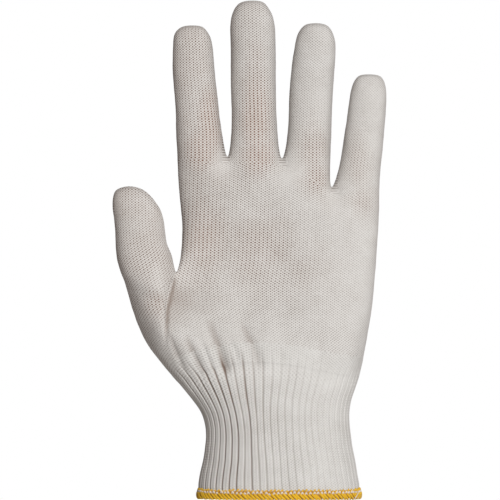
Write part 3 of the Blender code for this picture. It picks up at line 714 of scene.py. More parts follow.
def line_height(x, z):
    """Height of the rib tops below each point, for arrays."""
    across = across_between(x, *sides_at(z))
    return np.interp(across, column(CUFF_LINE, "across"), column(CUFF_LINE, "up") * CUFF_HEIGHT)


def unevenness(places):
    """The small unevenness of the worn cloth."""
    return 0.13 * ripple(places, 17.0, 3) + 0.05 * ripple(places, 6.0, 4)


cut_finer(cloth, FOLD_REACH, FOLD_CUTS)
co = coordinates(cloth)
out = vectors(cloth.vertex_normals, "vector")
move = fold_move(co[:, 0], co[:, 2]) * palm_facing(out)
move += unevenness(co)
above = co[:, 2] - line_height(co[:, 0], co[:, 2])
ease = held(above / (0.75 * JOIN))
in_palm = np.zeros(len(co), bool)
piece_numbers = numbers(cloth.attributes["piece"].data, "value")
for polygon, number in zip(cloth.polygons, piece_numbers):
    if number == PIECES.index("palm"):
        in_palm[list(polygon.vertices)] = True
inset = INSET * (1.0 - ease * ease * (3.0 - 2.0 * ease)) * in_palm
co = co + out * (move - inset)[:, None]
cloth.vertices.foreach_set("co", co.ravel())
cloth.update()
print("faces after cutting the folds finer:", len(cloth.polygons))

# %% [markdown]
# A knitted surface is a grid of wales (columns of stitches) and courses (rows). Each face gets its
# place in that grid as a flat coordinate, so that the stitches follow the tubes as the machine lays
# them: straight up the fingers and over the tips, up the palm, and along the thumb.

# %% Wale and course of each place
def arc_table(square, depth, steps=400):
    """Across (-1 to 1) against the share of the way round the front of a rounded oblong."""
    turn = np.linspace(math.pi, 0.0, steps)
    x = np.sign(np.cos(turn)) * np.abs(np.cos(turn)) ** (2.0 / square)
    y = depth * np.abs(np.sin(turn)) ** (2.0 / square)
    length = np.concatenate([[0.0], np.cumsum(np.hypot(np.diff(x), np.diff(y)))])
    return x, length / length[-1]


FLAT_X, FLAT_SHARE = arc_table(2.4, 0.32)
ROUND_X, ROUND_SHARE = arc_table(2.15, 0.92)
WEBS = np.array([(-24.0, 158.5), (1.2, 157.5), (24.6, 144.5)])
# Left side of the palm's wales above the thumb's root: heights and places, as in the outline
LEFT_SHARE = (0.525, 0.560, 0.620, 0.700, 1.000)
LEFT_PLACE = (-0.749, -0.782, -0.805, -0.770, -0.750)
PALM_WALES = (56.0, 69.0)    # across the front, above the wrist and from the middle of the palm up
FINGER_WALES = 18.0
THUMB_WALES = 22.0
WEB_LIFT = 2.2           # courses by which the rows dip at a web
WEB_WIDE = 7.5
WEB_TALL = 12.0
TIP_EASE = 0.92          # the courses over a fingertip lie a little further apart
THUMB_LEAN = 0.06        # the thumb's courses fall to the right
THUMB_BELOW = 20.0       # the thumb's wales run on this far below its root
THUMB_FLARE = {"left": 7.3, "right": 5.0}    # and lie this much further right there


def palm_knit(x, z):
    """Wale and course on the palm and the back."""
    share = z / BODY_HEIGHT
    left, right = sides_at(z)
    left = np.where(share > LEFT_SHARE[0], np.interp(share, LEFT_SHARE, LEFT_PLACE) * HAND_WIDTH, left)
    across = held(across_between(x, left, right), -1.0)
    full = np.interp(share, (0.30, 0.50), PALM_WALES)
    wale = (np.interp(across, FLAT_X, FLAT_SHARE) - 0.5) * full
    course = z / COURSE
    for web_x, web_z in WEBS:
        below = np.clip(web_z - z, 0.0, None)
        course = course + WEB_LIFT * np.exp(-((x - web_x) / WEB_WIDE) ** 2 - below / WEB_TALL)
    return wale, course


def finger_knit(name, x, z):
    """Wale and course on a finger; over the tip the courses follow its curve."""
    rows = [row for row in FINGER_RINGS if row.name == name]
    finger = [row for row in FINGERS if row.name == name][0]
    foot = (EDGE_LINES[finger.from_edge] + EDGE_LINES[finger.to_edge]) * BODY_HEIGHT / 2.0
    share = (z - foot) / finger.length
    middle = np.interp(share, column(rows, "up"), column(rows, "middle")) * HAND_WIDTH
    wide = column(rows, "wide")
    wide[-2:] = wide[-3]
    half = np.interp(share, column(rows, "up"), wide) * FINGER_WIDTH / 2.0
    across = held((x - middle) / half, -1.0)
    wale = (np.interp(across, ROUND_X, ROUND_SHARE) - 0.5) * FINGER_WALES
    tip = foot + finger.length
    bend = half.max()
    over = held((z - (tip - bend)) / bend)
    height = np.where(over > 0.0, tip - bend + bend * np.arcsin(over) * TIP_EASE, z)
    return wale, height / COURSE


def thumb_knit(x, z):
    """Wale and course on the thumb."""
    sides = []
    for side, flare in THUMB_FLARE.items():
        up = THUMB_FOOT * BODY_HEIGHT + column(THUMB_RINGS, side + "_z") * THUMB_LENGTH
        place = column(THUMB_RINGS, side + "_x") * HAND_WIDTH
        place[-2:] = place[-3]
        up = np.append(up[0] - THUMB_BELOW, up)
        sides.append(np.interp(z, up, np.append(place[0] + flare, place)))
    across = held(across_between(x, *sides), -1.0)
    wale = (np.interp(across, ROUND_X, ROUND_SHARE) - 0.5) * THUMB_WALES
    return wale, (z + THUMB_LEAN * (x - sides[0])) / COURSE


def set_knit(mesh):
    """Writes wale and course to the mesh's flat coordinate, face by face."""
    layer = mesh.uv_layers.new(name="knit")
    corners = numbers(mesh.loops, "vertex_index")
    sizes = numbers(mesh.polygons, "loop_total")
    number = np.repeat(numbers(mesh.attributes["piece"].data, "value"), sizes)
    x, _, z = coordinates(mesh)[corners].T
    flat = np.zeros((len(corners), 2))
    for at, name in enumerate(PIECES):
        here = number == at
        if name == "palm":
            wale, course = palm_knit(x[here], z[here])
        elif name == "thumb":
            wale, course = thumb_knit(x[here], z[here])
        else:
            wale, course = finger_knit(name, x[here], z[here])
        flat[here, 0] = wale
        flat[here, 1] = course
    layer.data.foreach_set("uv", flat.ravel())


set_knit(cloth)
print("wale and course are set on", len(cloth.loops), "corners")

# %% [markdown]
# The knit opens where it is stretched, over the lower joints of the index and middle fingers and
# beside the webs, and the painted shade of the inside shows through warmer and darker. The same mark
# paints shade over the left of the hand, the side turned from the light. The knit is packed closer,
# and so paler, where cloth gathers at the webs and at the rib tops; the rolls beside the folds, the
# thumb's edge and the right of the hand are made paler by the same mark as painted light. The
# bottoms of the folds and the palm beside the crease are marked too, and take a painted shade.

# %% Stretched and gathered places
# Stretched spots deepen the openings' painted shade; the palm spots, strongest on the left, also paint
# shade over that side.
STRETCHED_AND_SHADED = table(
    "name x z wide tall much",
    ("index_joint", -31.5, 176.0, 7.0, 17.0, 1.00),
    ("index_base", -37.0, 162.0, 9.0, 11.0, 0.90),
    ("middle_joint", -11.0, 178.0, 7.0, 20.0, 1.00),
    ("middle_upper", -12.0, 203.0, 6.0, 14.0, 0.40),
    ("middle_base", -10.0, 160.0, 8.0, 10.0, 0.90),
    ("ring_joint", 16.0, 162.0, 8.0, 14.0, 0.50),
    ("ring_base", 18.0, 150.0, 8.0, 9.0, 0.60),
    ("little_joint", 36.5, 157.0, 6.5, 14.0, 0.45),
    ("little_base", 38.0, 139.0, 7.0, 8.0, 0.40),
    ("thumb_joint", -66.0, 110.0, 9.0, 12.0, 0.40),
    ("thumb_tip", -69.0, 136.0, 8.0, 7.0, 0.35),
    ("thumb_root", -58.0, 92.0, 7.0, 10.0, 0.55),
    ("palm_left", -36.0, 124.0, 14.0, 22.0, 0.65),
    ("palm_middle", -10.0, 116.0, 22.0, 22.0, 0.40),
    ("palm_right", 10.0, 108.0, 14.0, 18.0, 0.25),
)
# Spots where the knit is paler: closer knit at the webs; painted light on the rolls beside the folds
# (roll_a, roll_b, roll_c), on the thumb's edge and right side, and on the right of the hand.
GATHERED_AND_LIT = table(
    "name x z wide tall much",
    ("ring_upper", 17.0, 188.0, 9.0, 16.0, 0.45),
    ("little_finger", 40.0, 172.0, 8.0, 30.0, 0.50),
    ("thumb_upper", -64.0, 128.0, 12.0, 16.0, 0.35),
    ("web_one", -27.5, 155.5, 5.5, 6.0, 1.00),
    ("web_two", 6.0, 152.0, 7.0, 6.5, 0.90),
    ("web_three", 25.5, 140.0, 5.5, 9.0, 0.90),
    ("index_side", -44.0, 152.0, 4.0, 22.0, 0.40),
    ("right_side", 40.0, 100.0, 9.0, 34.0, 0.65),
    ("roll_b", -3.0, 70.0, 9.0, 12.0, 0.40),
    ("roll_a", -20.5, 72.0, 5.0, 9.0, 0.55),
    ("roll_c", -35.0, 74.0, 5.0, 8.0, 0.45),
    ("thumb_right", -54.0, 128.0, 5.0, 16.0, 0.60),
    ("thumb_edge", -55.0, 100.0, 4.0, 12.0, 0.50),
    ("palm_low", 14.0, 66.0, 22.0, 10.0, 0.45),
)


def spots(rows, places):
    """Strength of a list of soft spots at places on the glove."""
    total = np.zeros(len(places))
    for row in rows:
        dx = (places[:, 0] - row.x) / row.wide
        dz = (places[:, 2] - row.z) / row.tall
        total = np.maximum(total, row.much * np.exp(-dx * dx - dz * dz))
    return total


def set_mark(mesh, name, values):
    """Keeps a value at each point for the material."""
    mark = mesh.attributes.get(name) or mesh.attributes.new(name, "FLOAT", "POINT")
    mark.data.foreach_set("value", values.astype(np.float32))


MARK_HOLLOW = 1.9        # how deep the hollow beside the crease counts for its painted shade
MARK_FROM = 0.10         # cloth that is pressed in this far starts to darken
MARK_SPAN = 1.7          # and is darkest this much deeper
co = coordinates(cloth)
# Painted shade at the bottoms of the folds and in the hollow beside the crease, on the palm side
groove = held(-fold_move(co[:, 0], co[:, 2], MARK_HOLLOW) - MARK_FROM, 0.0, MARK_SPAN) / MARK_SPAN
groove *= palm_facing(vectors(cloth.vertex_normals, "vector"), 0.2)
# Painted shade over the left of the hand and painted light over the right: the first deepens the openings,
# the second pales the knit.
leftwards = held((8.0 - co[:, 0]) / 50.0) * held((co[:, 2] - 78.0) / 30.0)
rightwards = held((co[:, 0] - 2.0) / 40.0)
set_mark(cloth, "stretch", np.maximum(spots(STRETCHED_AND_SHADED, co), 0.35 * leftwards))
set_mark(cloth, "gather", np.maximum(spots(GATHERED_AND_LIT, co), 0.60 * rightwards))
set_mark(cloth, "groove", groove)
print("largest stretch and groove:", spots(STRETCHED_AND_SHADED, co).max(), groove.max())

# %% [markdown]
# The jersey is one yarn thick, about a millimetre. The surface gets that wall, so that the glove is
# hollow and its lower edge can be seen to be cloth.

# %% The jersey with its wall
def make_piece(name, mesh, replaced):
    """A named piece that rides on the frame and stands for its solids; mesh is in millimetres."""
    mesh.name = name
    mesh.transform(Matrix.Scale(MM, 4))
    piece = bpy.data.objects.new(name, mesh)
    bpy.context.scene.collection.objects.link(piece)
    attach(piece, "root")
    if replaced:
        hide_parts(*replaced)
    for polygon in mesh.polygons:
        polygon.use_smooth = True
    return piece


def with_wall(mesh, thickness):
    """The cloth with its thickness laid inwards."""
    return modified(mesh, "SOLIDIFY", thickness=thickness, offset=-1.0, use_even_offset=False)


jersey_mesh = with_wall(cloth, KNIT_WALL)
jersey = make_piece("knit_hand", jersey_mesh, PIECES)
print("jersey:", len(jersey_mesh.polygons), "faces with its wall")

# %% [markdown]
# The wrist is a two-by-two style rib: 56 raised columns, each two wales wide, with narrow valleys
# that the elastic yarn pulls shut. It is a grid of its own, fine enough to carry every rib as real
# shape. It starts inside the hem and runs out under the jersey a little above the rib tops.

# %% The ribbed wrist
ROUND_STEPS = 2880       # short steps round the wrist by which its length is measured
RIB_COLUMNS = 12         # points across one rib
RIB_ROWS = 50
JOIN_ROWS = 12
VALLEY_WIDTH = 0.100     # half width of the valley between two ribs, share of a rib
DIP_DEPTH = 0.10         # the dip between a rib's two wales, share of the valley's depth
DIP_WIDTH = 0.10
DEPTH_SPREAD = 0.18      # how unlike each other the valleys are
TOP_FADE = 0.22          # the ribs grow shallower over this last share of their height
TOP_DEPTH = 0.65         # the share of their depth that they have left at the tops
RUN_OUT = 3.2            # how fast they vanish above the tops
# Depth of the valleys, and closeness and painted light of the knit, at places across, in millimetres:
# the ribs are flatter on the right, and the knit is paler there as painted light
DEPTH_X = (-30.0, -8.0, 25.0)
DEPTH_SHARE = (1.10, 0.66, 0.46)
CLOSE_LIGHT_X = (-40.0, -15.0, 25.0)
CLOSE_LIGHT_SHARE = (0.25, 0.45, 0.62)


def turns_round(count):
    """Across and side at even steps of cloth round the wrist, starting at the left edge."""
    height = WRIST * BODY_HEIGHT
    square = edges_at(height)[4]
    turns = math.pi + 2.0 * math.pi * np.arange(ROUND_STEPS + 1) / ROUND_STEPS
    places = []
    for step, turn in enumerate(turns):
        across = math.copysign(abs(math.cos(turn)) ** (2.0 / square), math.cos(turn))
        side = -1 if step <= ROUND_STEPS // 2 else 1
        places.append(body_point(across, side, height)[:])
    steps = np.linalg.norm(np.diff(np.array(places), axis=0), axis=1)
    length = np.concatenate([[0.0], np.cumsum(steps)])
    turn_at = np.interp(length[-1] * np.arange(count) / count, length, turns)
    across = np.sign(np.cos(turn_at)) * np.abs(np.cos(turn_at)) ** (2.0 / square)
    return across, np.where(turn_at <= 2.0 * math.pi, -1, 1)


WAIST = edges_at(WRIST * BODY_HEIGHT)
LEFT_SPREAD = 3.7        # how soon the ribs leave the left outline where the hand widens


def spread(across, height):
    """Where a rib that is at this place on the wrist lies at another height.

    The ribs run nearly straight up; only those near the left outline follow it out to the thumb.
    """
    left, right = edges_at(height)[:2]
    middle, half = (WAIST[0] + WAIST[1]) / 2.0, (WAIST[1] - WAIST[0]) / 2.0
    x = middle + across * half
    x += (left - WAIST[0]) * ((1.0 - across) / 2.0) ** LEFT_SPREAD
    x += (right - WAIST[1]) * (1.0 + across) / 2.0
    return max(-1.0, min(1.0, across_between(x, left, right)))


def ring_points(across, side, heights):
    """Points of a closed ring on the wrist; every point has its own height."""
    return np.array([body_point(spread(a, h), s, h)[:] for a, s, h in zip(across, side, heights)])


def ring_outward(points, across, side, heights):
    """Directions out of the cloth along a closed ring."""
    along = np.roll(points, -1, axis=0) - np.roll(points, 1, axis=0)
    rise = ring_points(across, side, heights + 1.0) - ring_points(across, side, heights - 1.0)
    away = np.cross(along, rise)
    return away / np.linalg.norm(away, axis=1)[:, None]


def rib_relief(phase, depth):
    """How far the cloth lies below the crown of a rib; phase is 0 and 1 in the valleys."""
    off = np.minimum(phase % 1.0, 1.0 - phase % 1.0)
    valley = np.exp(-(off / VALLEY_WIDTH) ** 2)
    dip = DIP_DEPTH * np.exp(-((phase % 1.0 - 0.5) / DIP_WIDTH) ** 2)
    return -depth * (valley + dip)


columns = RIB_COUNT * RIB_COLUMNS
across, side = turns_round(columns)
phase = np.arange(columns) / RIB_COLUMNS
rng = np.random.default_rng(11)
rib_depth = RIB_DEPTH * (1.0 + DEPTH_SPREAD * rng.normal(size=RIB_COUNT + 1)).clip(0.6, 1.35)
lines = np.array([cuff_line(spread(a, cuff_line(a))) for a in across])
levels = [("below", share) for share in np.linspace(0.0, 1.0, RIB_ROWS)]
levels += [("above", share) for share in np.linspace(0.0, 1.0, JOIN_ROWS + 1)[1:]]
foot = 0.45 * HEM_HEIGHT
rings = []
ring_heights = []
valley_shade_marks = []
rib_close_and_light = []
for kind, share in levels:
    heights = foot + (lines - foot) * share if kind == "below" else lines + JOIN * share
    points = ring_points(across, side, heights)
    away = ring_outward(points, across, side, heights)
    fade = held((1.0 - share) / TOP_FADE) * (1.0 - TOP_DEPTH) + TOP_DEPTH
    if kind == "above":
        fade = TOP_DEPTH * (1.0 - share) ** RUN_OUT
    reach = 1.0 if kind == "above" else held((share - 0.90) / 0.10)
    if reach > 0.0:
        found = [tree.find_nearest(Vector(p)) for p in points]
        on_palm = np.array([hit[0][:] for hit in found])
        points = points + (on_palm - points) * reach
    drift = 0.10 * np.sin(heights / 11.0 + across * 7.0) + 0.07 * np.sin(heights / 5.3 - across * 11.0)
    own = rib_depth[np.floor(phase + 0.5).astype(int) % RIB_COUNT]
    own = own * np.interp(points[:, 0], DEPTH_X, DEPTH_SHARE)
    start = np.clip(share / 0.05, 0.35, 1.0) if kind == "below" else 1.0
    strong = own * fade * start
    relief = rib_relief(phase + drift * 0.5, strong)
    sink = -0.30 * held((share - 0.62) / 0.38) ** 2 if kind == "above" else 0.0
    tuck = -0.55 * (1.0 - held((heights - 3.6) / 3.0))
    folds = fold_move(points[:, 0], points[:, 2]) * palm_facing(away)
    uneven = unevenness(points) * reach
    rings.append(points + away * (relief + sink + tuck + uneven + folds)[:, None])
    ring_heights.append(heights)
    # Painted shade in the rib valleys and at the bottoms of the folds
    valley_shade_marks.append(held(-relief / RIB_DEPTH + held(-folds - 0.3, 0.0, 2.0) / 2.8))
    # Paler at the rib tops, where the knit gathers, and towards the right as painted light
    near_tops = 0.35 * np.exp(-((heights - lines + 3.0) / 5.0) ** 2)
    rib_close_and_light.append(np.interp(points[:, 0], CLOSE_LIGHT_X, CLOSE_LIGHT_SHARE) + near_tops)


def ring_mesh(name, rings, knit=None, marks=None):
    """A tube through closed rings of as many points; knit gives wale and course for each point."""
    count = len(rings[0])
    points = np.concatenate(rings)
    faces = []
    flats = []
    for low in range(len(rings) - 1):
        for at in range(count):
            after = (at + 1) % count
            faces.append((low * count + at, low * count + after,
                          (low + 1) * count + after, (low + 1) * count + at))
            if knit is not None:
                wale, course = knit
                last = wale[at] + (wale[1] - wale[0])
                flats += [(wale[at], course[low][at]), (last, course[low][after]),
                          (last, course[low + 1][after]), (wale[at], course[low + 1][at])]
    mesh = bpy.data.meshes.new(name)
    mesh.from_pydata([tuple(p) for p in points], [], faces)
    if knit is not None:
        layer = mesh.uv_layers.new(name="knit")
        layer.data.foreach_set("uv", np.array(flats).ravel())
    if marks is not None:
        for mark, values in marks.items():
            set_mark(mesh, mark, np.concatenate(values))
    return mesh


spot_stretch = [0.0 * ring[:, 0] for ring in rings]
wrist_mesh = ring_mesh("rib_wrist", rings, (phase * 2.0, [h / COURSE for h in ring_heights]),
                       {"valley": valley_shade_marks, "stretch": spot_stretch, "gather": rib_close_and_light})
wrist_mesh = with_wall(wrist_mesh, RIB_WALL)
wrist = make_piece("rib_wrist", wrist_mesh, ["rib_cuff"])
print("ribbed wrist:", len(wrist_mesh.polygons), "faces,", RIB_COUNT, "ribs")

# %% [markdown]
# The cut edge is bound on an overlock machine: a yellow looper thread wraps over the edge in slanting
# stitches side by side, a white needle thread holds them in a row of small loops above, and the tips
# of the yellow loops stand in a row at the top. Each stitch is a thread of its own here, swept along
# its real path round the edge.

# %% Places round the hem
STITCHES = 104
HEM_POINTS = 12          # points of the line round the hem to one stitch
HEM_COUNT = STITCHES * HEM_POINTS
hem_across, hem_side = turns_round(HEM_COUNT)


def hem_frame(turn, heights):
    """Points on the wrist's surface and directions outwards, at stitch numbers and heights."""
    at = (np.asarray(turn) * HEM_POINTS) % HEM_COUNT
    low = np.floor(at).astype(int)
    part = at - low
    high = (low + 1) % HEM_COUNT
    points = HEM_RING[low] * (1.0 - part)[:, None] + HEM_RING[high] * part[:, None]
    points[:, 2] = heights
    away = HEM_AWAY[low] * (1.0 - part)[:, None] + HEM_AWAY[high] * part[:, None]
    away = away / np.linalg.norm(away, axis=1)[:, None]
    return points, away


flat_heights = np.full(HEM_COUNT, 0.5 * HEM_HEIGHT)
HEM_RING = ring_points(hem_across, hem_side, flat_heights)
HEM_AWAY = ring_outward(HEM_RING, hem_across, hem_side, flat_heights)
HEM_AWAY[:, 2] = 0.0
HEM_AWAY /= np.linalg.norm(HEM_AWAY, axis=1)[:, None]
BASE = -0.85             # middle of the cuff's edge, behind the outline
SKIN = 1.05              # the binding's half thickness


def hem_side_out(heights):
    """How far the binding stands out at a height: full in the middle, drawn in at both ends."""
    share = np.clip(heights / HEM_HEIGHT, 0.0, 1.0)
    return SKIN * np.clip(1.0 - np.abs(1.75 * share - 0.62) ** 2.4, 0.10, 1.0) ** 0.5


print("hem:", STITCHES, "stitches round the wrist")

# %% The core under the threads
core_rings = []
for turn in np.linspace(0.0, 1.0, 15)[:-1]:
    angle = 2.0 * math.pi * turn
    height = HEM_HEIGHT * (0.53 - 0.44 * math.cos(angle))
    outward_at = BASE + 0.74 * SKIN * math.sin(angle)
    points, away = hem_frame(np.arange(0, STITCHES, 0.5), height)
    core_rings.append(points + away * outward_at)
core_mesh = ring_mesh("hem_core", core_rings + core_rings[:1])
core = bmesh.new()
core.from_mesh(core_mesh)
bmesh.ops.remove_doubles(core, verts=core.verts, dist=0.001)
core.to_mesh(core_mesh)
core.free()
hem_core = make_piece("hem_core", core_mesh, ["overlock_hem"])
print("hem core:", len(core_mesh.polygons), "faces")

# %% Threads swept along their paths
def swept(paths, radius, sides=6, flat=1.0):
    """Tubes along many paths (paths x points x 3, in mm) as points and faces."""
    count, steps, _ = paths.shape
    along = np.gradient(paths, axis=1)
    along /= np.linalg.norm(along, axis=2, keepdims=True)
    centre = paths.mean(axis=(0, 1))
    guess = paths - centre
    guess[..., 2] = 0.0
    guess /= np.linalg.norm(guess, axis=2, keepdims=True)
    across_path = np.cross(along, guess)
    across_path /= np.maximum(np.linalg.norm(across_path, axis=2, keepdims=True), 1e-6)
    lift = np.cross(across_path, along)
    turns = 2.0 * np.pi * np.arange(sides) / sides
    points = (paths[:, :, None, :]
              + radius * np.cos(turns)[None, None, :, None] * across_path[:, :, None, :]
              + radius * flat * np.sin(turns)[None, None, :, None] * lift[:, :, None, :])
    faces = []
    flats = []
    for path in range(count):
        start = path * steps * sides
        for step in range(steps - 1):
            low = start + step * sides
            for at in range(sides):
                after = (at + 1) % sides
                faces.append((low + at, low + after, low + sides + after, low + sides + at))
                flats += [(at / sides, step / 6.0), ((at + 1) / sides, step / 6.0),
                          ((at + 1) / sides, (step + 1) / 6.0), (at / sides, (step + 1) / 6.0)]
        faces.append(tuple(start + at for at in reversed(range(sides))))
        flats += [(0.5, 0.0)] * sides
        end = start + (steps - 1) * sides
        faces.append(tuple(end + at for at in range(sides)))
        flats += [(0.5, 1.0)] * sides
    return points.reshape(-1, 3), faces, flats


def thread_piece(name, groups):
    """One piece from several groups of swept threads."""
    points, faces, flats = [], [], []
    base = 0
    for group_points, group_faces, group_flats in groups:
        points.append(group_points)
        faces += [tuple(base + at for at in face) for face in group_faces]
        flats += group_flats
        base += len(group_points)
    mesh = bpy.data.meshes.new(name)
    mesh.from_pydata([tuple(p) for p in np.concatenate(points)], [], faces)
    layer = mesh.uv_layers.new(name="knit")
    layer.data.foreach_set("uv", np.array(flats).ravel())
    piece = make_piece(name, mesh, [])
    print(name, len(mesh.polygons), "faces")
    return piece


def stitch_paths(turns, heights, outs, jitter, seed):
    """Paths of one kind of stitch, repeated round the hem with a little unevenness."""
    rng = np.random.default_rng(seed)
    paths = []
    for number in range(STITCHES):
        shift = rng.normal(scale=jitter, size=3)
        turn = number + np.array(turns) + shift[0]
        height = np.array(heights) * (1.0 + 0.5 * shift[1]) + 0.6 * shift[2]
        points, away = hem_frame(turn, height)
        paths.append(points + away * (BASE + np.array(outs))[:, None])
    return np.array(paths)


slant = np.linspace(0.0, 1.0, 9)
over_height = HEM_HEIGHT * (0.66 - 0.55 * slant)
over_out = hem_side_out(over_height) + 0.10 - 0.50 * slant ** 6
over = stitch_paths(-0.80 + 1.45 * slant, over_height, over_out, 0.08, 21)
under_height = HEM_HEIGHT * (0.11 + 0.74 * slant ** 1.6)
under = stitch_paths(0.53 + 0.25 * slant, under_height, 0.62 - 1.62 * slant ** 0.8, 0.05, 21)
tip_height = HEM_HEIGHT * np.array([0.80, 0.92, 1.01, 1.04, 0.98])
tips = stitch_paths([-0.30, -0.16, 0.00, 0.14, 0.26], tip_height, [0.42, 0.62, 0.62, 0.46, 0.15], 0.09, 22)
yellow = thread_piece("hem_yellow_thread", [
    swept(over, THREAD * 1.60, 7, 0.8),
    swept(under, THREAD * 1.3, 6, 0.8),
    swept(tips, THREAD * 1.05, 6)])

# %% The white needle thread and its loose end
loop_turn = np.linspace(0.0, 1.0, 9)
arch = np.sin(np.pi * loop_turn)
loop_height = HEM_HEIGHT * (0.66 + 0.19 * arch)
loops = stitch_paths(-0.36 + 0.52 * loop_turn, loop_height, 0.52 + 0.36 * arch, 0.09, 23)
fleck_height = HEM_HEIGHT * np.array([0.20, 0.10, 0.06, 0.09])
flecks = stitch_paths([-0.10, 0.05, 0.20, 0.32], fleck_height, [0.94, 0.86, 0.70, 0.55], 0.10, 24)[::2]
TAIL_PLACE = 0.4585      # where the loose end starts, share of the way round
tail_share = np.linspace(0.0, 1.0, 12)
tail_height = HEM_HEIGHT * (0.78 - 0.62 * tail_share ** 1.1)
tail_points, tail_away = hem_frame(STITCHES * TAIL_PLACE - tail_share * 1.9, tail_height)
tail_out = BASE + hem_side_out(tail_height) + 0.62
tail = (tail_points + tail_away * tail_out[:, None])[None]
white = thread_piece("hem_white_thread", [
    swept(loops, THREAD),
    swept(flecks, THREAD * 0.62),
    swept(tail, THREAD * 0.62)])

# %% [markdown]
# Colour and relief of the yarn come from nodes, worked out from wale and course. A small class lets
# the maths read as maths: a socket can be added, multiplied and shaped like a number.

# %% Shader maths
class Wire:
    """A shader value that can be used in sums."""

    def __init__(self, tree, socket):
        self.tree = tree
        self.socket = socket

    def math(self, kind, *values):
        node = self.tree.nodes.new("ShaderNodeMath")
        node.operation = kind
        for at, value in enumerate((self,) + values):
            plug(self.tree, node.inputs[at], value)
        return Wire(self.tree, node.outputs[0])

    def __add__(self, other):
        return self.math("ADD", other)

    def __radd__(self, other):
        return self.math("ADD", other)

    def __mul__(self, other):
        return self.math("MULTIPLY", other)

    def __rmul__(self, other):
        return self.math("MULTIPLY", other)

    def __sub__(self, other):
        return self.math("SUBTRACT", other)

    def __rsub__(self, other):
        return (self * -1.0).math("ADD", other)

    def __pow__(self, other):
        return self.math("POWER", other)

    def wave(self):
        """Cosine with a period of one."""
        return (self * (2.0 * math.pi)).math("COSINE")

    def held(self, low=0.0, high=1.0):
        return self.math("MAXIMUM", low).math("MINIMUM", high)

    def ramp(self, low, high):
        """Smooth step from 0 at low to 1 at high."""
        node = self.tree.nodes.new("ShaderNodeMapRange")
        node.interpolation_type = "SMOOTHSTEP"
        plug(self.tree, node.inputs["Value"], self)
        node.inputs["From Min"].default_value = low
        node.inputs["From Max"].default_value = high
        return Wire(self.tree, node.outputs["Result"])


def plug(tree, socket, value):
    """Sets a socket to a number or colour, or links a wire to it."""
    if isinstance(value, Wire):
        tree.links.new(value.socket, socket)
    elif hasattr(value, "__len__") and len(value) == 3 and socket.type == "RGBA":
        socket.default_value = (*value, 1.0)
    else:
        socket.default_value = value


class Paint:
    """A material in the making."""

    def __init__(self, name):
        self.material = bpy.data.materials.new(name)
        self.material.use_nodes = True
        self.tree = self.material.node_tree
        self.shader = self.tree.nodes["Principled BSDF"]

    def node(self, kind, settings=None, output=0, **values):
        """Any node: its settings first, then its socket values or links."""
        node = self.tree.nodes.new(kind)
        for key, value in (settings or {}).items():
            setattr(node, key, value)
        for key, value in values.items():
            plug(self.tree, node.inputs[key.replace("_", " ")], value)
        return Wire(self.tree, node.outputs[output])

    def parts(self, place):
        """The three numbers of a place."""
        split = self.tree.nodes.new("ShaderNodeSeparateXYZ")
        self.tree.links.new(place.socket, split.inputs[0])
        return [Wire(self.tree, output) for output in split.outputs]

    def knit_place(self):
        """Wale and course."""
        return self.parts(self.node("ShaderNodeUVMap", {"uv_map": "knit"}, "UV"))[:2]

    def place(self):
        """Position on the glove."""
        return self.node("ShaderNodeTexCoord", None, "Object")

    def mark(self, name):
        """A value kept at the mesh's points."""
        return self.node("ShaderNodeAttribute", {"attribute_name": name}, "Fac")

    def noise(self, size_mm, detail=2.0):
        """Noise from 0 to 1 with patches of about this size."""
        return self.node("ShaderNodeTexNoise", None, "Fac", Vector=self.place(),
                         Scale=1.0 / MM / size_mm, Detail=detail, Roughness=0.5)

    def blend(self, share, first, second):
        """Mix of two colours."""
        node = self.tree.nodes.new("ShaderNodeMix")
        node.data_type = "RGBA"
        plug(self.tree, node.inputs["Factor"], share)
        plug(self.tree, node.inputs[6], first)
        plug(self.tree, node.inputs[7], second)
        return Wire(self.tree, node.outputs[2])

    def relief(self, height, depth_mm, strength=1.0):
        """Bump from a height between 0 and 1."""
        node = self.tree.nodes.new("ShaderNodeBump")
        node.inputs["Strength"].default_value = strength
        node.inputs["Distance"].default_value = depth_mm * MM
        plug(self.tree, node.inputs["Height"], height)
        self.tree.links.new(node.outputs["Normal"], self.shader.inputs["Normal"])

    def finish(self, colour, roughness, **constants):
        """Links colour and roughness and sets what is the same all over."""
        plug(self.tree, self.shader.inputs["Base Color"], colour)
        plug(self.tree, self.shader.inputs["Roughness"], roughness)
        for key, value in constants.items():
            self.shader.inputs[key.replace("_", " ")].default_value = value
        return self.material


# %% [markdown]
# Single jersey of white polyester: small openings stand in a chequered pattern between the legs of
# the stitches, half a wale and half a course apart, painted dark with the shade of the glove's inside.
# The yarn is matt and slightly warm, with a soft bloom at grazing angles. The openings are darker
# and redder where the knit is stretched and, as painted shade, on the left of the hand; they close
# where it gathers and, as painted light, on the right.

# %% Knit materials
YARN = (0.738, 0.735, 0.720)
YARN_DULL = (0.655, 0.642, 0.620)
RIB_YARN = (0.738, 0.741, 0.726)
RIB_YARN_DULL = (0.655, 0.649, 0.630)
# Painted shade of the glove's inside, seen through the knit's openings
OPENING_SHADE = (0.140, 0.115, 0.100)
OPENING_SHADE_WARM = (0.205, 0.110, 0.078)
STRETCH_TINT = (0.640, 0.530, 0.455)
# Colour of the painted shade in the fold grooves and the rib valleys
FOLD_SHADE = (0.235, 0.180, 0.150)


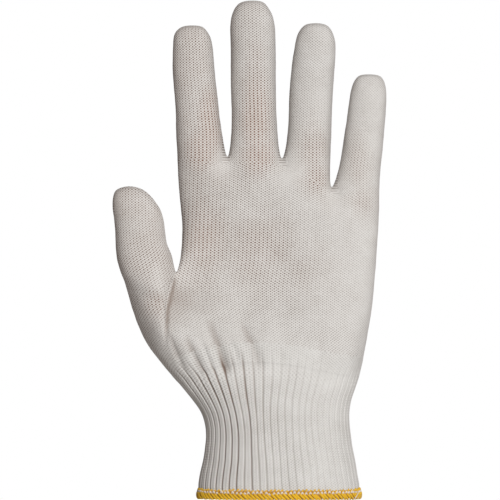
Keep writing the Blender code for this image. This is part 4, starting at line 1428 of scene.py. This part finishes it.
def knit_material(name, ribbed):
    """White knit; ribbed knit gets painted shade in its valleys and fold grooves."""
    paint = Paint(name)
    wale, course = paint.knit_place()
    stretch = paint.mark("stretch")
    gather = paint.mark("gather")
    patch = paint.noise(9.0, 3.0)
    fine = paint.noise(1.3, 2.0)
    sway = (paint.noise(5.0) - 0.5) * 0.22
    across = (wale + sway).wave()
    along = (course + sway * 0.8).wave()
    lattice = across * along
    openness = lattice + across * (stretch * 0.40 + 0.12) + stretch * 0.14 + (fine - 0.5) * 0.45
    opening = openness.ramp(-0.05, 0.80)
    leg = (course + (wale * 2.0).wave() * 0.16).wave() * 0.5 + 0.5
    much = (0.66 + stretch * 0.90 - gather * 0.60 + (patch - 0.5) * 0.45).held(0.06, 1.0)
    light, dull = (RIB_YARN, RIB_YARN_DULL) if ribbed else (YARN, YARN_DULL)
    shade = paint.blend((patch * 1.3 + fine * 0.5 - 0.4).held(), light, dull)
    shade = paint.blend((stretch * 0.30 * (patch + 0.35)).held(), shade, STRETCH_TINT)
    # The openings are painted with the shade inside them, warmer where the knit is stretched
    opening_shade = paint.blend((stretch * 1.4).held(), OPENING_SHADE, OPENING_SHADE_WARM)
    colour = paint.blend(opening * much, shade, opening_shade)
    if ribbed:
        # Painted shade in the rib valleys and fold grooves, strongest on the left, the side turned from
        # the light
        valley = paint.mark("valley")
        rightwards = paint.parts(paint.place())[0].ramp(-0.030, 0.010)
        depth = (valley ** 1.3) * (1.30 - rightwards * 1.02)
        colour = paint.blend(depth.held(), colour, FOLD_SHADE)
    else:
        # Painted shade at the bottoms of the folds and in the hollow beside the crease
        colour = paint.blend((paint.mark("groove") * 0.75).held(), colour, FOLD_SHADE)
    height = 0.55 - opening * 0.45 + leg * 0.18 + fine * 0.22
    paint.relief(height, 0.30, 0.85)
    rough = (0.84 + opening * 0.10 + fine * 0.05).held()
    return paint.finish(colour, rough, Metallic=0.0, Sheen_Weight=0.18, Sheen_Roughness=0.45,
                        Specular_IOR_Level=0.25)


def dress(piece, material):
    """Puts one material on a whole piece."""
    piece.data.materials.clear()
    piece.data.materials.append(material)


jersey_paint = knit_material("white_jersey", False)
rib_paint = knit_material("white_rib", True)
dress(jersey, jersey_paint)
dress(wrist, rib_paint)
print("knit materials:", len(jersey_paint.node_tree.nodes), len(rib_paint.node_tree.nodes), "nodes")

# %% [markdown]
# Overlock threads are spun and twisted. The twist shows as slanting ridges along each thread, and
# the yellow is deeper, nearly orange, along the twist and in small patches.

# %% Thread materials
def thread_material(name, light, deep, twist_depth):
    """Twisted sewing thread."""
    paint = Paint(name)
    around, along = paint.knit_place()
    twist = (around + along * 5.0).wave() * 0.5 + 0.5
    fibre = paint.noise(0.25, 3.0)
    patch = paint.noise(3.0)
    colour = paint.blend((twist * 0.35 + fibre * 0.35 + patch * 0.4 - 0.25).held(), light, deep)
    paint.relief(twist * 0.7 + fibre * 0.3, twist_depth, 0.8)
    return paint.finish(colour, (0.50 + fibre * 0.25).held(), Metallic=0.0, Sheen_Weight=0.25,
                        Sheen_Roughness=0.4)


def core_material(name, light, deep):
    """The bound edge under the threads, where yarn ends are packed; its deeper orange is painted shade."""
    paint = Paint(name)
    fibre = paint.noise(0.35, 3.0)
    patch = paint.noise(1.6, 2.0)
    paint.relief(fibre, 0.25, 0.9)
    return paint.finish(paint.blend((patch * 0.8 + fibre * 0.4 - 0.1).held(), light, deep),
                        (0.75 + fibre * 0.2).held(), Metallic=0.0)


dress(yellow, thread_material("yellow_thread", (0.880, 0.575, 0.010), (0.620, 0.260, 0.005), 0.08))
dress(white, thread_material("white_thread", (0.830, 0.790, 0.720), (0.640, 0.560, 0.470), 0.06))
# The hem core's deeper orange is painted shade between the threads
dress(hem_core, core_material("edge_shade", (0.620, 0.330, 0.030), (0.380, 0.160, 0.020)))
print("thread materials are on the hem")

# %% [markdown]
# The glove is held up, as on a hand, so the pale floor lies well below it. The main light is soft
# and comes from the front, a little from the right and from above. Weaker lights from the right and
# from behind open the shadows there. The surroundings are dim and warm, so that the sides turned to
# the left fall off to brown, and only the camera sees them white.

# %% Floor, light and surroundings
FLOOR_DROP = 0.30
FLOOR_REACH = 6.0
floor_mesh = bpy.data.meshes.new("floor")
floor_net = bmesh.new()
bmesh.ops.create_circle(floor_net, cap_ends=True, segments=96, radius=FLOOR_REACH)
floor_net.to_mesh(floor_mesh)
floor_net.free()
floor = bpy.data.objects.new("floor", floor_mesh)
floor.location = (0.0, 0.0, -FLOOR_DROP)
bpy.context.scene.collection.objects.link(floor)
floor_paint = Paint("pale_floor")
grain = floor_paint.noise(400.0, 2.0)
floor_mesh.materials.append(floor_paint.finish(
    floor_paint.blend(grain, (0.86, 0.86, 0.855), (0.83, 0.83, 0.825)), 0.8, Metallic=0.0))


def soft_sun(name, towards, strength, colour, spread):
    """Light from far away; towards points from the glove to the light."""
    lamp = bpy.data.lights.new(name, "SUN")
    lamp.energy = strength
    lamp.color = colour
    lamp.angle = math.radians(spread)
    holder = bpy.data.objects.new(name, lamp)
    holder.rotation_mode = "QUATERNION"
    holder.rotation_quaternion = Vector(towards).to_track_quat("Z", "Y")
    bpy.context.scene.collection.objects.link(holder)


soft_sun("side_light", (1.00, -0.10, 0.25), 0.22, (1.0, 0.997, 0.990), 30.0)
soft_sun("front_light", (0.25, -0.95, 0.30), 2.66, (1.0, 0.994, 0.984), 18.0)
soft_sun("back_light", (0.15, 1.00, 0.45), 0.80, (1.0, 0.994, 0.984), 30.0)
world = bpy.data.worlds.new("surroundings")
world.use_nodes = True
bpy.context.scene.world = world
nodes = world.node_tree.nodes
links = world.node_tree.links
nodes.clear()
dim = nodes.new("ShaderNodeBackground")
dim.inputs["Color"].default_value = (0.090, 0.060, 0.047, 1.0)
pale = nodes.new("ShaderNodeBackground")
pale.inputs["Color"].default_value = (1.0, 1.0, 1.0, 1.0)
seen = nodes.new("ShaderNodeLightPath")
either = nodes.new("ShaderNodeMixShader")
output = nodes.new("ShaderNodeOutputWorld")
links.new(seen.outputs["Is Camera Ray"], either.inputs[0])
links.new(dim.outputs[0], either.inputs[1])
links.new(pale.outputs[0], either.inputs[2])
links.new(either.outputs[0], output.inputs["Surface"])

# %% [markdown]
# The camera looks straight at the palm from a distance, with a long lens, so that the fingers keep
# their true proportions. The glove fills the frame from the hem to the tip of the middle finger.

# %% Camera
SCALE = 0.4659           # millimetres of the glove to one pixel of the image
FRAME_PIXELS = 500
CUFF_MIDDLE = 279.5      # pixel across of the middle of the cuff mouth
CUFF_MOUTH = 499.0       # pixel down of the cuff mouth
LENS = 500.0
SENSOR = 36.0
camera_data = bpy.data.cameras.new("camera")
camera_data.lens = LENS
camera_data.sensor_width = SENSOR
camera_data.sensor_fit = "HORIZONTAL"
camera = bpy.data.objects.new("camera", camera_data)
span = SCALE * FRAME_PIXELS * MM
distance = span * LENS / SENSOR
half_frame = FRAME_PIXELS / 2.0
camera.location = ((half_frame - CUFF_MIDDLE) * SCALE * MM, -distance,
                   (CUFF_MOUTH - half_frame) * SCALE * MM)
camera.rotation_euler = (math.radians(90.0), 0.0, 0.0)
bpy.context.scene.collection.objects.link(camera)
bpy.context.scene.camera = camera
bpy.context.scene.view_settings.view_transform = "Standard"
print("camera", [round(v, 4) for v in camera.location], "distance", round(distance, 3))
